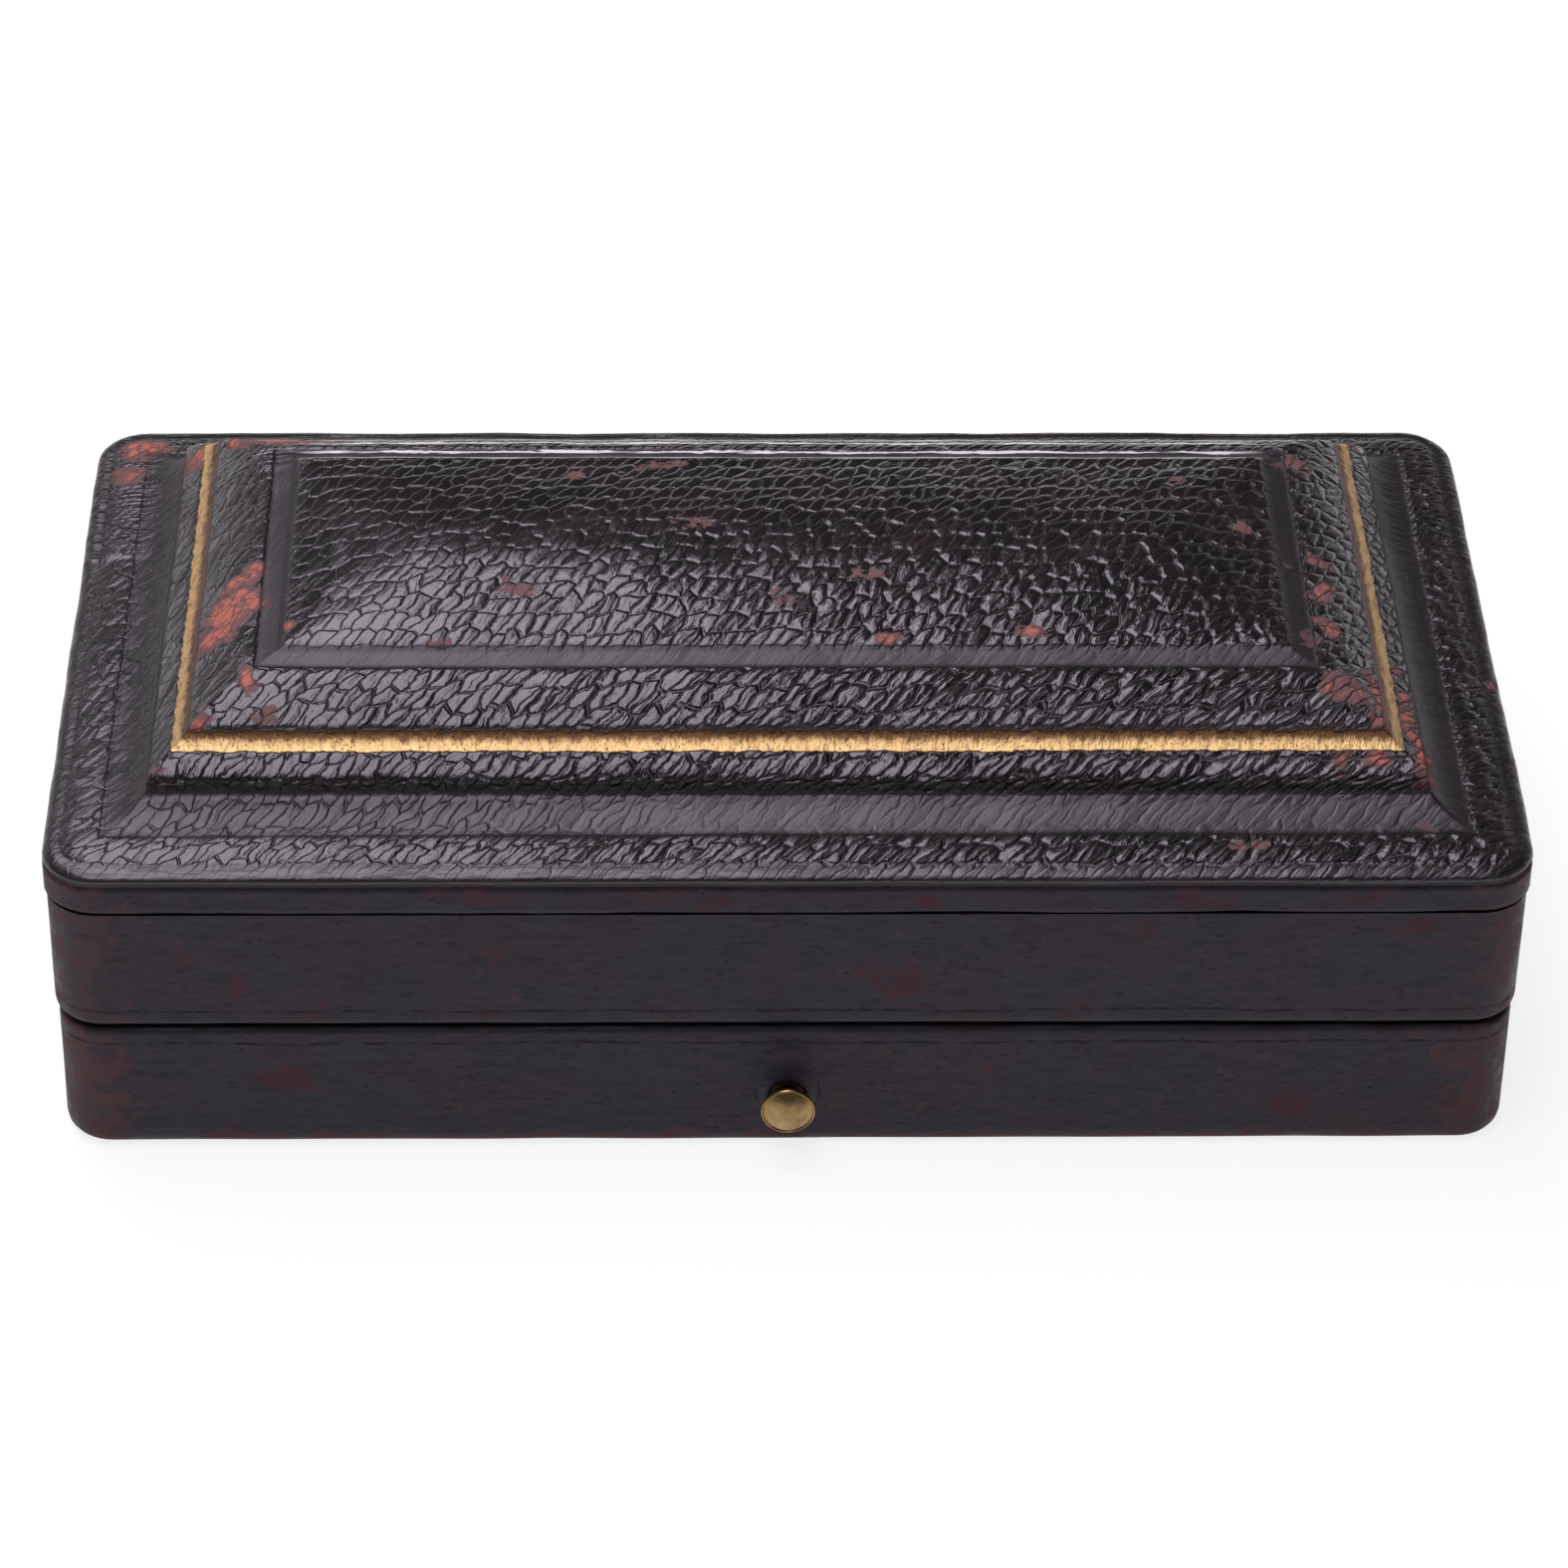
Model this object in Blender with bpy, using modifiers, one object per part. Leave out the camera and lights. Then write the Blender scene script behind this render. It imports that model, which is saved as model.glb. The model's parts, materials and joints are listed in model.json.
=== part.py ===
"""A push-button presentation box: a leather-covered wooden case with a moulded, domed lid.

Metres, +Z up. The origin is the centre of the underside. +X runs along the box, and the button faces -Y.
"""

import math

import bmesh
import bpy
from mathutils import Vector

# Overall sizes, measured over the leather
LID_WIDTH = 0.102
LID_DEPTH = 0.056
BASE_HEIGHT = 0.0106
SEAM_GAP = 0.0003
LID_WALL_HEIGHT = 0.0125
CORNER_RADIUS = 0.0038
SKIRT_STEP = 0.0002
BASE_SET_IN = 0.0002

# Sheet and timber thicknesses
LEATHER = 0.0005
CARD = 0.0008
RAIL_THICKNESS = 0.003
BOTTOM_BOARD = 0.0022
LIP_THICKNESS = 0.0012

# Clearances
SEAT_GAP = 0.0003
LIP_CLEARANCE = 0.0004
PIN_CLEARANCE = 0.0001
CUT_OVERRUN = 0.001

# Leather edges
SEAM_EDGE_RADIUS = 0.0006
BOTTOM_EDGE_RADIUS = 0.0012
UNDERSIDE_TURN_IN = 0.006
SKIRT_HEIGHT = 0.003
BOARD_EDGE_BEVEL = 0.0006

# Lid mouldings, from the outer edge inwards. Each has its width and its rise.
EDGE_ROUND_WIDTH = 0.0011
EDGE_ROUND_RISE = 0.0007
BEAD_WIDTH = 0.0031
BEAD_RISE = 0.0005
COVE_WIDTH = 0.0027
COVE_RISE = 0.0015
STEP_WIDTH = 0.0002
STEP_RISE = 0.0007
OGEE_WIDTH = 0.0016
OGEE_RISE = 0.0014
GILT_WIDTH = 0.0011
GILT_RISE = 0.00095
SHOULDER_WIDTH = 0.0045
SHOULDER_RISE = 0.0023
BLIND_LINE_WIDTH = 0.0013
BLIND_LINE_RISE = 0.0005
LINE_DEPTH = 0.00015
PANEL_RISE = 0.00145
PANEL_SOFTNESS_SHARE = 0.85
PANEL_REACH_SHARE = 0.94

# Inner lip and fitted insert
LIP_STAND = 0.0024
INSERT_TOP_BELOW_SEAM = 0.0012
INSERT_EDGE = 0.0008
INSERT_CORNER = 0.001
RECESS_END_BORDER = 0.007
RECESS_SIDE_BORDER = 0.012
RECESS_CORNER = 0.005

# Lid lining
LINING_PAD_THICKNESS = 0.0035
LINING_PAD_CROWN = 0.0012
LINING_PAD_EDGE = 0.0014

# Push button
BUTTON_HEIGHT = 0.005
BUTTON_RADIUS = 0.0019
BUTTON_RIM = 0.00045
BUTTON_CROWN = 0.0005
BUTTON_STAND = 0.003
SHANK_RADIUS = 0.0007
BUSH_WALL = 0.0004
BUSH_STAND = 0.0005
BOSS_WALL = 0.0007
BOSS_HEIGHT = 0.0007

# Catch spring: a sprung arm along the front rail, with a tongue and a tooth at its free end
SPRING_THICKNESS = 0.0004
SPRING_ARM_LENGTH = 0.024
SPRING_ARM_HEIGHT = 0.0018
TONGUE_WIDTH = 0.003
TOOTH_THICKNESS = 0.0008
TOOTH_NOSE_SHARE = 0.7
GROOVE_DEPTH = 0.0014
GROOVE_SIDE_ROOM = 0.0006
SPRING_PIN_SPACING = 0.004

# Strike plate in the lid's front rail
PLATE_THICKNESS = 0.0006
PLATE_WIDTH = 0.011
PLATE_DEPTH = 0.0022
PLATE_NOTCH_WIDTH = 0.0044
PLATE_LAND = 0.0008
PLATE_PIN_SPACING = 0.0078
TOOTH_OVER_PLATE = 0.0004
TOOTH_BITE = 0.0005

# Strip hinge
HINGE_LENGTH = 0.064
KNUCKLE_COUNT = 5
BARREL_RADIUS = 0.0013
BARREL_CLEARANCE = 0.00005
KNUCKLE_GAP = 0.0002
HINGE_PIN_RADIUS = 0.00055
LEAF_THICKNESS = 0.0006
LEAF_REACH = 0.006
LEAF_BITE = 0.00025
NAIL_END_MARGIN = 0.008
NAIL_COUNT = 3

# Small brass pins and nails
NAIL_RADIUS = 0.0004
NAIL_HEAD_RADIUS = 0.00075
NAIL_HEAD = 0.00035
NAIL_LENGTH = 0.0021

# Facets
CORNER_STEPS = 5
ROUND_STEPS = 24
PIN_STEPS = 12
MERGE_DISTANCE = 0.000001

# Places that follow from the sizes above
LID_EDGE_Z = BASE_HEIGHT + SEAM_GAP + LID_WALL_HEIGHT
SEAM_Z = BASE_HEIGHT + SEAM_GAP / 2
LID_BOTTOM_Z = BASE_HEIGHT + SEAM_GAP
SKIRT_BOTTOM_Z = LID_EDGE_Z - SKIRT_HEIGHT
SKIN = LEATHER + SEAT_GAP

LID_HALF = (LID_WIDTH / 2, LID_DEPTH / 2)
SIDE_HALF = tuple(h - SKIRT_STEP for h in LID_HALF)
BASE_HALF = tuple(h - BASE_SET_IN for h in SIDE_HALF)
SIDE_CORNER = CORNER_RADIUS - SKIRT_STEP
BASE_CORNER = SIDE_CORNER - BASE_SET_IN

BASE_RAIL_OUTER = tuple(h - SKIN for h in BASE_HALF)
BASE_RAIL_INNER = tuple(h - RAIL_THICKNESS for h in BASE_RAIL_OUTER)
BASE_RAIL_CORNER = BASE_CORNER - SKIN
LIP_OUTER = tuple(h - SEAT_GAP for h in BASE_RAIL_INNER)
LIP_INNER = tuple(h - LIP_THICKNESS for h in LIP_OUTER)
LID_RAIL_OUTER = tuple(h - SKIN for h in SIDE_HALF)
LID_RAIL_INNER = tuple(h + LIP_CLEARANCE for h in LIP_OUTER)
LID_RAIL_CORNER = SIDE_CORNER - SKIN

BOARD_BOTTOM_Z = SKIN
BOARD_TOP_Z = BOARD_BOTTOM_Z + BOTTOM_BOARD
BASE_RAIL_BOTTOM_Z = BOARD_TOP_Z + SEAT_GAP
BASE_RAIL_TOP_Z = BASE_HEIGHT - SKIN
LIP_TOP_Z = BASE_HEIGHT + LIP_STAND
LID_RAIL_BOTTOM_Z = LID_BOTTOM_Z + SKIN
TOP_BOARD_BOTTOM_Z = SKIRT_BOTTOM_Z + SEAT_GAP
LID_RAIL_TOP_Z = TOP_BOARD_BOTTOM_Z - SEAT_GAP
LINING_BOTTOM_Z = LIP_TOP_Z + LIP_CLEARANCE

# Catch, from the face of the front rail inwards
FRONT_RAIL_FACE_Y = -BASE_RAIL_INNER[1]
GROOVE_BOTTOM_Y = FRONT_RAIL_FACE_Y - GROOVE_DEPTH
SPRING_OUTER_Y = GROOVE_BOTTOM_Y + SEAT_GAP
SPRING_INNER_Y = SPRING_OUTER_Y + SPRING_THICKNESS
PLATE_INNER_Y = -LID_RAIL_INNER[1]
PLATE_OUTER_Y = PLATE_INNER_Y - PLATE_DEPTH
PLATE_TOP_Z = LID_BOTTOM_Z + PLATE_THICKNESS
PLATE_EDGE_Y = PLATE_OUTER_Y + PLATE_LAND
TOOTH_BOTTOM_Z = PLATE_TOP_Z + TOOTH_OVER_PLATE
TOOTH_TOP_Z = TOOTH_BOTTOM_Z + TOOTH_THICKNESS
TOOTH_TIP_Y = PLATE_EDGE_Y - TOOTH_BITE
BUTTON_FACE_Y = -BASE_HALF[1] - BUTTON_STAND
BUTTON_BACK_Y = BUTTON_FACE_Y + BUTTON_CROWN + BUTTON_RIM
SHANK_END_Y = SPRING_OUTER_Y - SEAT_GAP
BUSH_INNER_RADIUS = SHANK_RADIUS + PIN_CLEARANCE
BUSH_OUTER_RADIUS = BUSH_INNER_RADIUS + BUSH_WALL
BUSH_FRONT_Y = -BASE_HALF[1] - BUSH_STAND
BUSH_BACK_Y = GROOVE_BOTTOM_Y - SEAT_GAP

# Hinge, with its axis just behind the leather of the lid
HINGE_Y = SIDE_HALF[1] + BARREL_CLEARANCE
HINGE_Z = SEAM_Z
LEAF_OUTER_Y = HINGE_Y - BARREL_RADIUS + LEAF_BITE
LEAF_INNER_Y = LEAF_OUTER_Y - LEAF_THICKNESS
REBATE_Y = LEAF_INNER_Y - SEAT_GAP
BARREL_ROOM = BARREL_RADIUS + SEAT_GAP
KNUCKLE_LENGTH = HINGE_LENGTH / KNUCKLE_COUNT


def lid_profile():
    """The lid's moulding, as (inset from the edge, height over the edge) from the rim to the panel."""
    points = [(0.0, -SKIRT_HEIGHT), (0.0, 0.0)]
    points += edge_round()
    bead_in = EDGE_ROUND_WIDTH + BEAD_WIDTH
    bead_top = EDGE_ROUND_RISE + BEAD_RISE
    points.append((bead_in, bead_top))
    cove_in = bead_in + COVE_WIDTH
    cove_top = bead_top + COVE_RISE
    points += cove(bead_in, bead_top)
    step_in = cove_in + STEP_WIDTH
    step_top = cove_top + STEP_RISE
    points.append((step_in, step_top))
    ogee_in = step_in + OGEE_WIDTH
    ogee_top = step_top + OGEE_RISE
    points.append((step_in + OGEE_WIDTH / 3, step_top + OGEE_RISE * 0.6))
    points.append((ogee_in, ogee_top))
    gilt_in = ogee_in + GILT_WIDTH
    gilt_top = ogee_top + GILT_RISE
    points.append((gilt_in, gilt_top))
    points += shoulder(gilt_in, gilt_top)
    blind_in = gilt_in + SHOULDER_WIDTH
    blind_low = gilt_top + SHOULDER_RISE - LINE_DEPTH
    points.append((blind_in + LINE_DEPTH, blind_low))
    panel_in = blind_in + BLIND_LINE_WIDTH
    points.append((panel_in - LINE_DEPTH, blind_low + BLIND_LINE_RISE))
    points += panel_dome(panel_in, gilt_top + SHOULDER_RISE + BLIND_LINE_RISE)
    return points


def edge_round():
    """The rounded outer edge of the lid, a quarter of an ellipse."""
    return [
        (EDGE_ROUND_WIDTH * (1 - math.cos(turn)), EDGE_ROUND_RISE * math.sin(turn))
        for turn in (math.pi / 6, math.pi / 3, math.pi / 2)
    ]


def cove(inset, height):
    """The hollow moulding, which starts level and ends steep."""
    shares = (0.45, 0.75, 1.0)
    return [(inset + COVE_WIDTH * share, height + COVE_RISE * share**2.4) for share in shares]


def shoulder(inset, height):
    """The swelling band between the gilt line and the blind line, steep first and then level."""
    shares = (0.25, 0.6, 1.0)
    return [
        (inset + SHOULDER_WIDTH * share, height + SHOULDER_RISE * math.sin(share * math.pi / 2))
        for share in shares
    ]


def panel_dome(inset, height):
    """The low dome of the centre panel, up to the ridge in the middle."""
    reach = (LID_HALF[1] - inset) * PANEL_REACH_SHARE
    shares = (0.0, 0.15, 0.35, 0.6, 0.85, 1.0)
    return [(inset + reach * share, height + PANEL_RISE * math.sin(share * math.pi / 2)) for share in shares]


def panel_inset():
    """How far the centre panel starts from the lid's edge."""
    bands = (EDGE_ROUND_WIDTH, BEAD_WIDTH, COVE_WIDTH, STEP_WIDTH, OGEE_WIDTH)
    return sum(bands) + GILT_WIDTH + SHOULDER_WIDTH + BLIND_LINE_WIDTH


def lid_corner(inset):
    """The moulding's corner radius at an inset: square past the rim, and soft again in the panel."""
    panel = min((inset - panel_inset()) * PANEL_SOFTNESS_SHARE, (LID_HALF[1] - inset) * PANEL_REACH_SHARE)
    return max(CORNER_RADIUS - inset, panel, 0.0)


def lid_rings(profile):
    """The rounded rectangles that the lid's moulding follows."""
    return [(tuple(h - inset for h in LID_HALF), lid_corner(inset), LID_EDGE_Z + z) for inset, z in profile]


def offset_profile(points, distance):
    """The profile moved into the body by a distance, each corner mitred."""
    moved = []
    lines = []
    for (s0, z0), (s1, z1) in zip(points, points[1:]):
        length = math.hypot(s1 - s0, z1 - z0)
        along = ((s1 - s0) / length, (z1 - z0) / length)
        inward = (along[1], -along[0])
        lines.append(((s0 + inward[0] * distance, z0 + inward[1] * distance), along))
    first, last = lines[0], lines[-1]
    moved.append(first[0])
    for (p, a), (q, b) in zip(lines, lines[1:]):
        cross = a[0] * b[1] - a[1] * b[0]
        if abs(cross) < MERGE_DISTANCE:
            moved.append(q)
            continue
        t = ((q[0] - p[0]) * b[1] - (q[1] - p[1]) * b[0]) / cross
        moved.append((p[0] + a[0] * t, p[1] + a[1] * t))
    end = points[-1]
    moved.append((end[0] + last[1][1] * distance, end[1] - last[1][0] * distance))
    kept = [moved[0]]
    for point in moved[1:]:
        if point[0] > kept[-1][0] - MERGE_DISTANCE and point[1] > kept[-1][1] - distance:
            kept.append(point)
    return kept


def clear_scene():
    """Removes what the scene holds, so that it starts empty."""
    for obj in list(bpy.data.objects):
        bpy.data.objects.remove(obj)


def make_collection(name):
    """A collection of its own, linked to the scene."""
    collection = bpy.data.collections.new(name)
    bpy.context.scene.collection.children.link(collection)
    return collection


def make_material(name, colour, roughness, metallic=0.0):
    """A plain Principled material."""
    material = bpy.data.materials.new(name)
    material.use_nodes = True
    shader = material.node_tree.nodes["Principled BSDF"]
    shader.inputs["Base Color"].default_value = (*colour, 1.0)
    shader.inputs["Roughness"].default_value = roughness
    shader.inputs["Metallic"].default_value = metallic
    material.diffuse_color = (*colour, 1.0)
    return material


def add_object(name, mesh, material, collection):
    """An object for a mesh, with its material, in a collection."""
    obj = bpy.data.objects.new(name, mesh)
    if material is not None:
        mesh.materials.append(material)
    collection.objects.link(obj)
    return obj


def mesh_from(bm, name):
    """The finished mesh of a bmesh, which is freed."""
    mesh = bpy.data.meshes.new(name)
    bm.to_mesh(mesh)
    bm.free()
    return mesh


def block(name, low, high, material, collection, round_edges=None, radius=0.0):
    """A box between two corners. round_edges picks the edges that are rounded, by their middle point."""
    bm = bmesh.new()
    bmesh.ops.create_cube(bm, size=1.0)
    low, high = Vector(low), Vector(high)
    size, centre = high - low, (high + low) / 2
    bmesh.ops.scale(bm, vec=size, verts=bm.verts)
    if round_edges is not None:
        chosen = [e for e in bm.edges if round_edges((e.verts[0].co + e.verts[1].co) / 2, size)]
        bmesh.ops.bevel(
            bm, geom=chosen, offset=radius, segments=CORNER_STEPS, profile=0.5, affect="EDGES", material=-1
        )
    obj = add_object(name, mesh_from(bm, name), material, collection)
    obj.location = centre
    return obj


def make_cutter(obj):
    """Marks an object as a tool that only cuts."""
    obj.hide_render = True
    obj.display_type = "WIRE"
    return obj


def cut(obj, *tools):
    """Cuts the tools from an object with Boolean modifiers."""
    for tool in tools:
        modifier = obj.modifiers.new(tool.name, "BOOLEAN")
        modifier.operation = "DIFFERENCE"
        modifier.object = tool


def join(obj, *others):
    """Joins helper shapes to an object with Boolean modifiers."""
    for other in others:
        modifier = obj.modifiers.new(other.name, "BOOLEAN")
        modifier.operation = "UNION"
        modifier.object = other


def turned(name, profile, start, direction, material, collection, steps=ROUND_STEPS):
    """A turned piece. Its profile is (radius, distance along the direction), from the far end back."""
    mesh = bpy.data.meshes.new(name)
    points = [(radius, 0.0, distance) for radius, distance in profile]
    mesh.from_pydata(points, [(i, i + 1) for i in range(len(points) - 1)], [])
    obj = add_object(name, mesh, material, collection)
    screw = obj.modifiers.new("Turn", "SCREW")
    screw.steps = screw.render_steps = steps
    screw.use_merge_vertices = True
    screw.merge_threshold = MERGE_DISTANCE
    screw.use_smooth_shade = False
    obj.location = start
    obj.rotation_euler = Vector(direction).to_track_quat("Z", "Y").to_euler()
    return obj


def rod_profile(radius, length):
    """The profile of a plain round rod."""
    return [(0.0, length), (radius, length), (radius, 0.0), (0.0, 0.0)]


def rounded_ring(bm, half, radius, z):
    """The points of a rounded rectangle, anticlockwise from above. Its corners may be square."""
    reach = [h - radius for h in half]
    ring = []
    for corner in range(4):
        side = (1 if corner in (0, 3) else -1, 1 if corner in (0, 1) else -1)
        for step in range(CORNER_STEPS + 1):
            angle = (corner + step / CORNER_STEPS) * math.pi / 2
            x = side[0] * reach[0] + radius * math.cos(angle)
            y = side[1] * reach[1] + radius * math.sin(angle)
            ring.append(bm.verts.new((x, y, z)))
    return ring


def loft(name, rings, material, collection, cap_start=False, cap_end=False):
    """A surface through rounded rectangles, each given as (half sizes, corner radius, z)."""
    bm = bmesh.new()
    loops = [rounded_ring(bm, *ring) for ring in rings]
    for lower, upper in zip(loops, loops[1:]):
        for i, corner in enumerate(lower):
            after = (i + 1) % len(lower)
            bm.faces.new((corner, lower[after], upper[after], upper[i]))
    if cap_start:
        bm.faces.new(list(reversed(loops[0])))
    if cap_end:
        bm.faces.new(loops[-1])
    bmesh.ops.remove_doubles(bm, verts=bm.verts, dist=MERGE_DISTANCE)
    return add_object(name, mesh_from(bm, name), material, collection)


def ring_at(half, corner, inset, z):
    """A rounded rectangle set in from an outline."""
    return (tuple(h - inset for h in half), max(corner - inset, 0.0), z)


def solidify(obj, thickness):
    """Gives an open surface its wall, on the inner side."""
    modifier = obj.modifiers.new("Wall", "SOLIDIFY")
    modifier.thickness = thickness
    modifier.offset = -1.0
    modifier.use_even_offset = True
    modifier.use_quality_normals = True


def quarter_round(radius, from_side, z, upward):
    """The insets and heights of a rounded leather edge at height z, starting at the side or on the flat."""
    turns = [math.pi / 2 * step / 3 for step in range(4)]
    sign = 1 if upward else -1
    points = [
        (radius * (1 - math.cos(turn)), z + sign * (radius * math.sin(turn) - radius)) for turn in turns
    ]
    return points if from_side else list(reversed(points))


def make_materials():
    """One material for each stuff that the box is made of."""
    return {
        "leather": make_material("morocco_leather", (0.028, 0.023, 0.026), 0.5),
        "gilt": make_material("gold_leaf", (0.55, 0.35, 0.11), 0.38, 1.0),
        "wood": make_material("pine", (0.52, 0.36, 0.20), 0.7),
        "brass": make_material("brass", (0.56, 0.42, 0.18), 0.35, 1.0),
        "card": make_material("grey_card", (0.35, 0.31, 0.26), 0.85),
        "paper": make_material("lining_paper", (0.045, 0.028, 0.028), 0.8),
        "satin": make_material("ivory_satin", (0.72, 0.66, 0.54), 0.4),
        "velvet": make_material("blue_velvet", (0.018, 0.022, 0.075), 0.9),
    }


class Box:
    """Builds the presentation box, one sub-assembly at a time."""

    def __init__(self):
        self.parts = make_collection("presentation_box")
        self.tools = make_collection("cutters")
        self.stuff = make_materials()

    def tool_block(self, name, low, high, round_edges=None, radius=0.0):
        """A box-shaped helper that cuts or is joined."""
        return make_cutter(block(name, low, high, None, self.tools, round_edges, radius))

    def tool_rod(self, name, radius, length, start, direction):
        """A round cutter."""
        return make_cutter(turned(name, rod_profile(radius, length), start, direction, None, self.tools))

    def rails(self, prefix, outer, inner, corner, bottom, top):
        """Four wooden rails: front and back run full width, and the side rails fit between them."""
        rails = {}
        for name, sign in (("front", -1), ("back", 1)):
            near, far = sorted((sign * inner[1], sign * outer[1]))

            def outside(middle, size, sign=sign):
                upright = abs(middle.z) < MERGE_DISTANCE
                return upright and middle.y * sign > 0 and abs(abs(middle.x) - size.x / 2) < MERGE_DISTANCE

            rails[name] = block(
                f"{prefix}_{name}_rail",
                (-outer[0], near, bottom),
                (outer[0], far, top),
                self.stuff["wood"],
                self.parts,
                outside,
                corner,
            )
        for name, sign in (("left", -1), ("right", 1)):
            near, far = sorted((sign * inner[0], sign * outer[0]))
            reach = inner[1] - SEAT_GAP
            rails[name] = block(
                f"{prefix}_{name}_rail",
                (near, -reach, bottom),
                (far, reach, top),
                self.stuff["wood"],
                self.parts,
            )
        return rails

    def base_carcass(self):
        """The bottom board and the four rails of the base."""
        rings = [
            ring_at(BASE_RAIL_OUTER, BASE_RAIL_CORNER, BOARD_EDGE_BEVEL, BOARD_BOTTOM_Z),
            ring_at(BASE_RAIL_OUTER, BASE_RAIL_CORNER, 0.0, BOARD_BOTTOM_Z + BOARD_EDGE_BEVEL),
            ring_at(BASE_RAIL_OUTER, BASE_RAIL_CORNER, 0.0, BOARD_TOP_Z),
        ]
        loft("base_bottom_board", rings, self.stuff["wood"], self.parts, True, True)
        rails = self.rails(
            "base", BASE_RAIL_OUTER, BASE_RAIL_INNER, BASE_RAIL_CORNER, BASE_RAIL_BOTTOM_Z, BASE_RAIL_TOP_Z
        )
        cut(rails["front"], self.arm_groove(), self.tongue_groove(), self.shank_hole())
        cut(rails["back"], self.hinge_rebate("base_rebate", -1))
        cut(rails["back"], *self.nail_holes("base", -1))
        return rails

    def arm_groove(self):
        """The groove for the spring's arm, in the inner face of the front rail."""
        return self.tool_block(
            "arm_groove",
            (
                -SPRING_ARM_LENGTH - GROOVE_SIDE_ROOM,
                GROOVE_BOTTOM_Y,
                BUTTON_HEIGHT - SPRING_ARM_HEIGHT / 2 - GROOVE_SIDE_ROOM / 2,
            ),
            (
                TONGUE_WIDTH / 2 + GROOVE_SIDE_ROOM,
                FRONT_RAIL_FACE_Y + CUT_OVERRUN,
                BUTTON_HEIGHT + SPRING_ARM_HEIGHT / 2 + GROOVE_SIDE_ROOM / 2,
            ),
        )

    def tongue_groove(self):
        """The upright groove for the tongue, open at the rail's top."""
        half = TONGUE_WIDTH / 2 + GROOVE_SIDE_ROOM
        return self.tool_block(
            "tongue_groove",
            (-half, GROOVE_BOTTOM_Y, BUTTON_HEIGHT),
            (half, FRONT_RAIL_FACE_Y + CUT_OVERRUN, BASE_HEIGHT + CUT_OVERRUN),
        )

    def shank_hole(self):
        """The hole for the button's bush, through the front rail and its leather."""
        length = BUTTON_STAND + RAIL_THICKNESS + SKIN + CUT_OVERRUN
        return self.tool_rod(
            "shank_hole",
            BUSH_OUTER_RADIUS + PIN_CLEARANCE,
            length,
            (0.0, BUTTON_FACE_Y, BUTTON_HEIGHT),
            (0, 1, 0),
        )

    def base_covering(self):
        """The leather of the base, turned in at both edges, and the sheet that closes the underside."""
        profile = [(UNDERSIDE_TURN_IN, 0.0)]
        profile += quarter_round(BOTTOM_EDGE_RADIUS, False, 0.0, False)
        profile += quarter_round(SEAM_EDGE_RADIUS, True, BASE_HEIGHT, True)
        profile.append((SKIN + RAIL_THICKNESS, BASE_HEIGHT))
        rings = [ring_at(BASE_HALF, BASE_CORNER, inset, z) for inset, z in profile]
        cover = loft("base_leather_cover", rings, self.stuff["leather"], self.parts)
        solidify(cover, LEATHER)
        join(cover, self.button_boss())
        cut(cover, self.shank_hole(), self.tongue_slot(), self.barrel_notch("base_notch"))
        half = tuple(h - UNDERSIDE_TURN_IN - SEAT_GAP for h in BASE_HALF)
        sheet = [(half, 0.0, 0.0), (half, 0.0, LEATHER)]
        loft("base_underside_sheet", sheet, self.stuff["paper"], self.parts, True, True)

    def button_boss(self):
        """The leather that stands up round the button's bush."""
        radius = BUSH_OUTER_RADIUS + PIN_CLEARANCE + BOSS_WALL
        bite = LEATHER / 2
        profile = [
            (0.0, BOSS_HEIGHT + bite),
            (radius - BOSS_WALL / 2, BOSS_HEIGHT + bite),
            (radius, BOSS_HEIGHT / 2 + bite),
            (radius + BOSS_WALL / 2, bite),
            (radius + BOSS_WALL / 2, 0.0),
            (0.0, 0.0),
        ]
        start = (0.0, -BASE_HALF[1] + bite, BUTTON_HEIGHT)
        return make_cutter(turned("button_boss", profile, start, (0, -1, 0), None, self.tools))

    def tongue_slot(self):
        """The slot in the base's leather where the tongue comes up."""
        half = TONGUE_WIDTH / 2 + GROOVE_SIDE_ROOM / 2
        return self.tool_block(
            "tongue_slot",
            (-half, GROOVE_BOTTOM_Y, BASE_RAIL_TOP_Z),
            (half, FRONT_RAIL_FACE_Y + CUT_OVERRUN, BASE_HEIGHT + CUT_OVERRUN),
        )

    def lip(self):
        """The raised lip inside the base that the lid closes over, as four strips of covered card."""
        low, high = BASE_RAIL_BOTTOM_Z, LIP_TOP_Z
        half_notch = TONGUE_WIDTH / 2 + GROOVE_SIDE_ROOM
        for name, sign in (("front", -1), ("back", 1)):
            near, far = sorted((sign * LIP_INNER[1], sign * LIP_OUTER[1]))
            strip = block(
                f"lip_{name}",
                (-LIP_OUTER[0], near, low),
                (LIP_OUTER[0], far, high),
                self.stuff["velvet"],
                self.parts,
            )
            if name == "front":
                notch = self.tool_block(
                    "lip_notch",
                    (-half_notch, -LIP_OUTER[1] - CUT_OVERRUN, BASE_RAIL_TOP_Z - LIP_THICKNESS),
                    (half_notch, -LIP_INNER[1] + CUT_OVERRUN, high + CUT_OVERRUN),
                )
                cut(strip, notch)
        for name, sign in (("left", -1), ("right", 1)):
            near, far = sorted((sign * LIP_INNER[0], sign * LIP_OUTER[0]))
            reach = LIP_INNER[1] - SEAT_GAP
            block(f"lip_{name}", (near, -reach, low), (far, reach, high), self.stuff["velvet"], self.parts)

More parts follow.
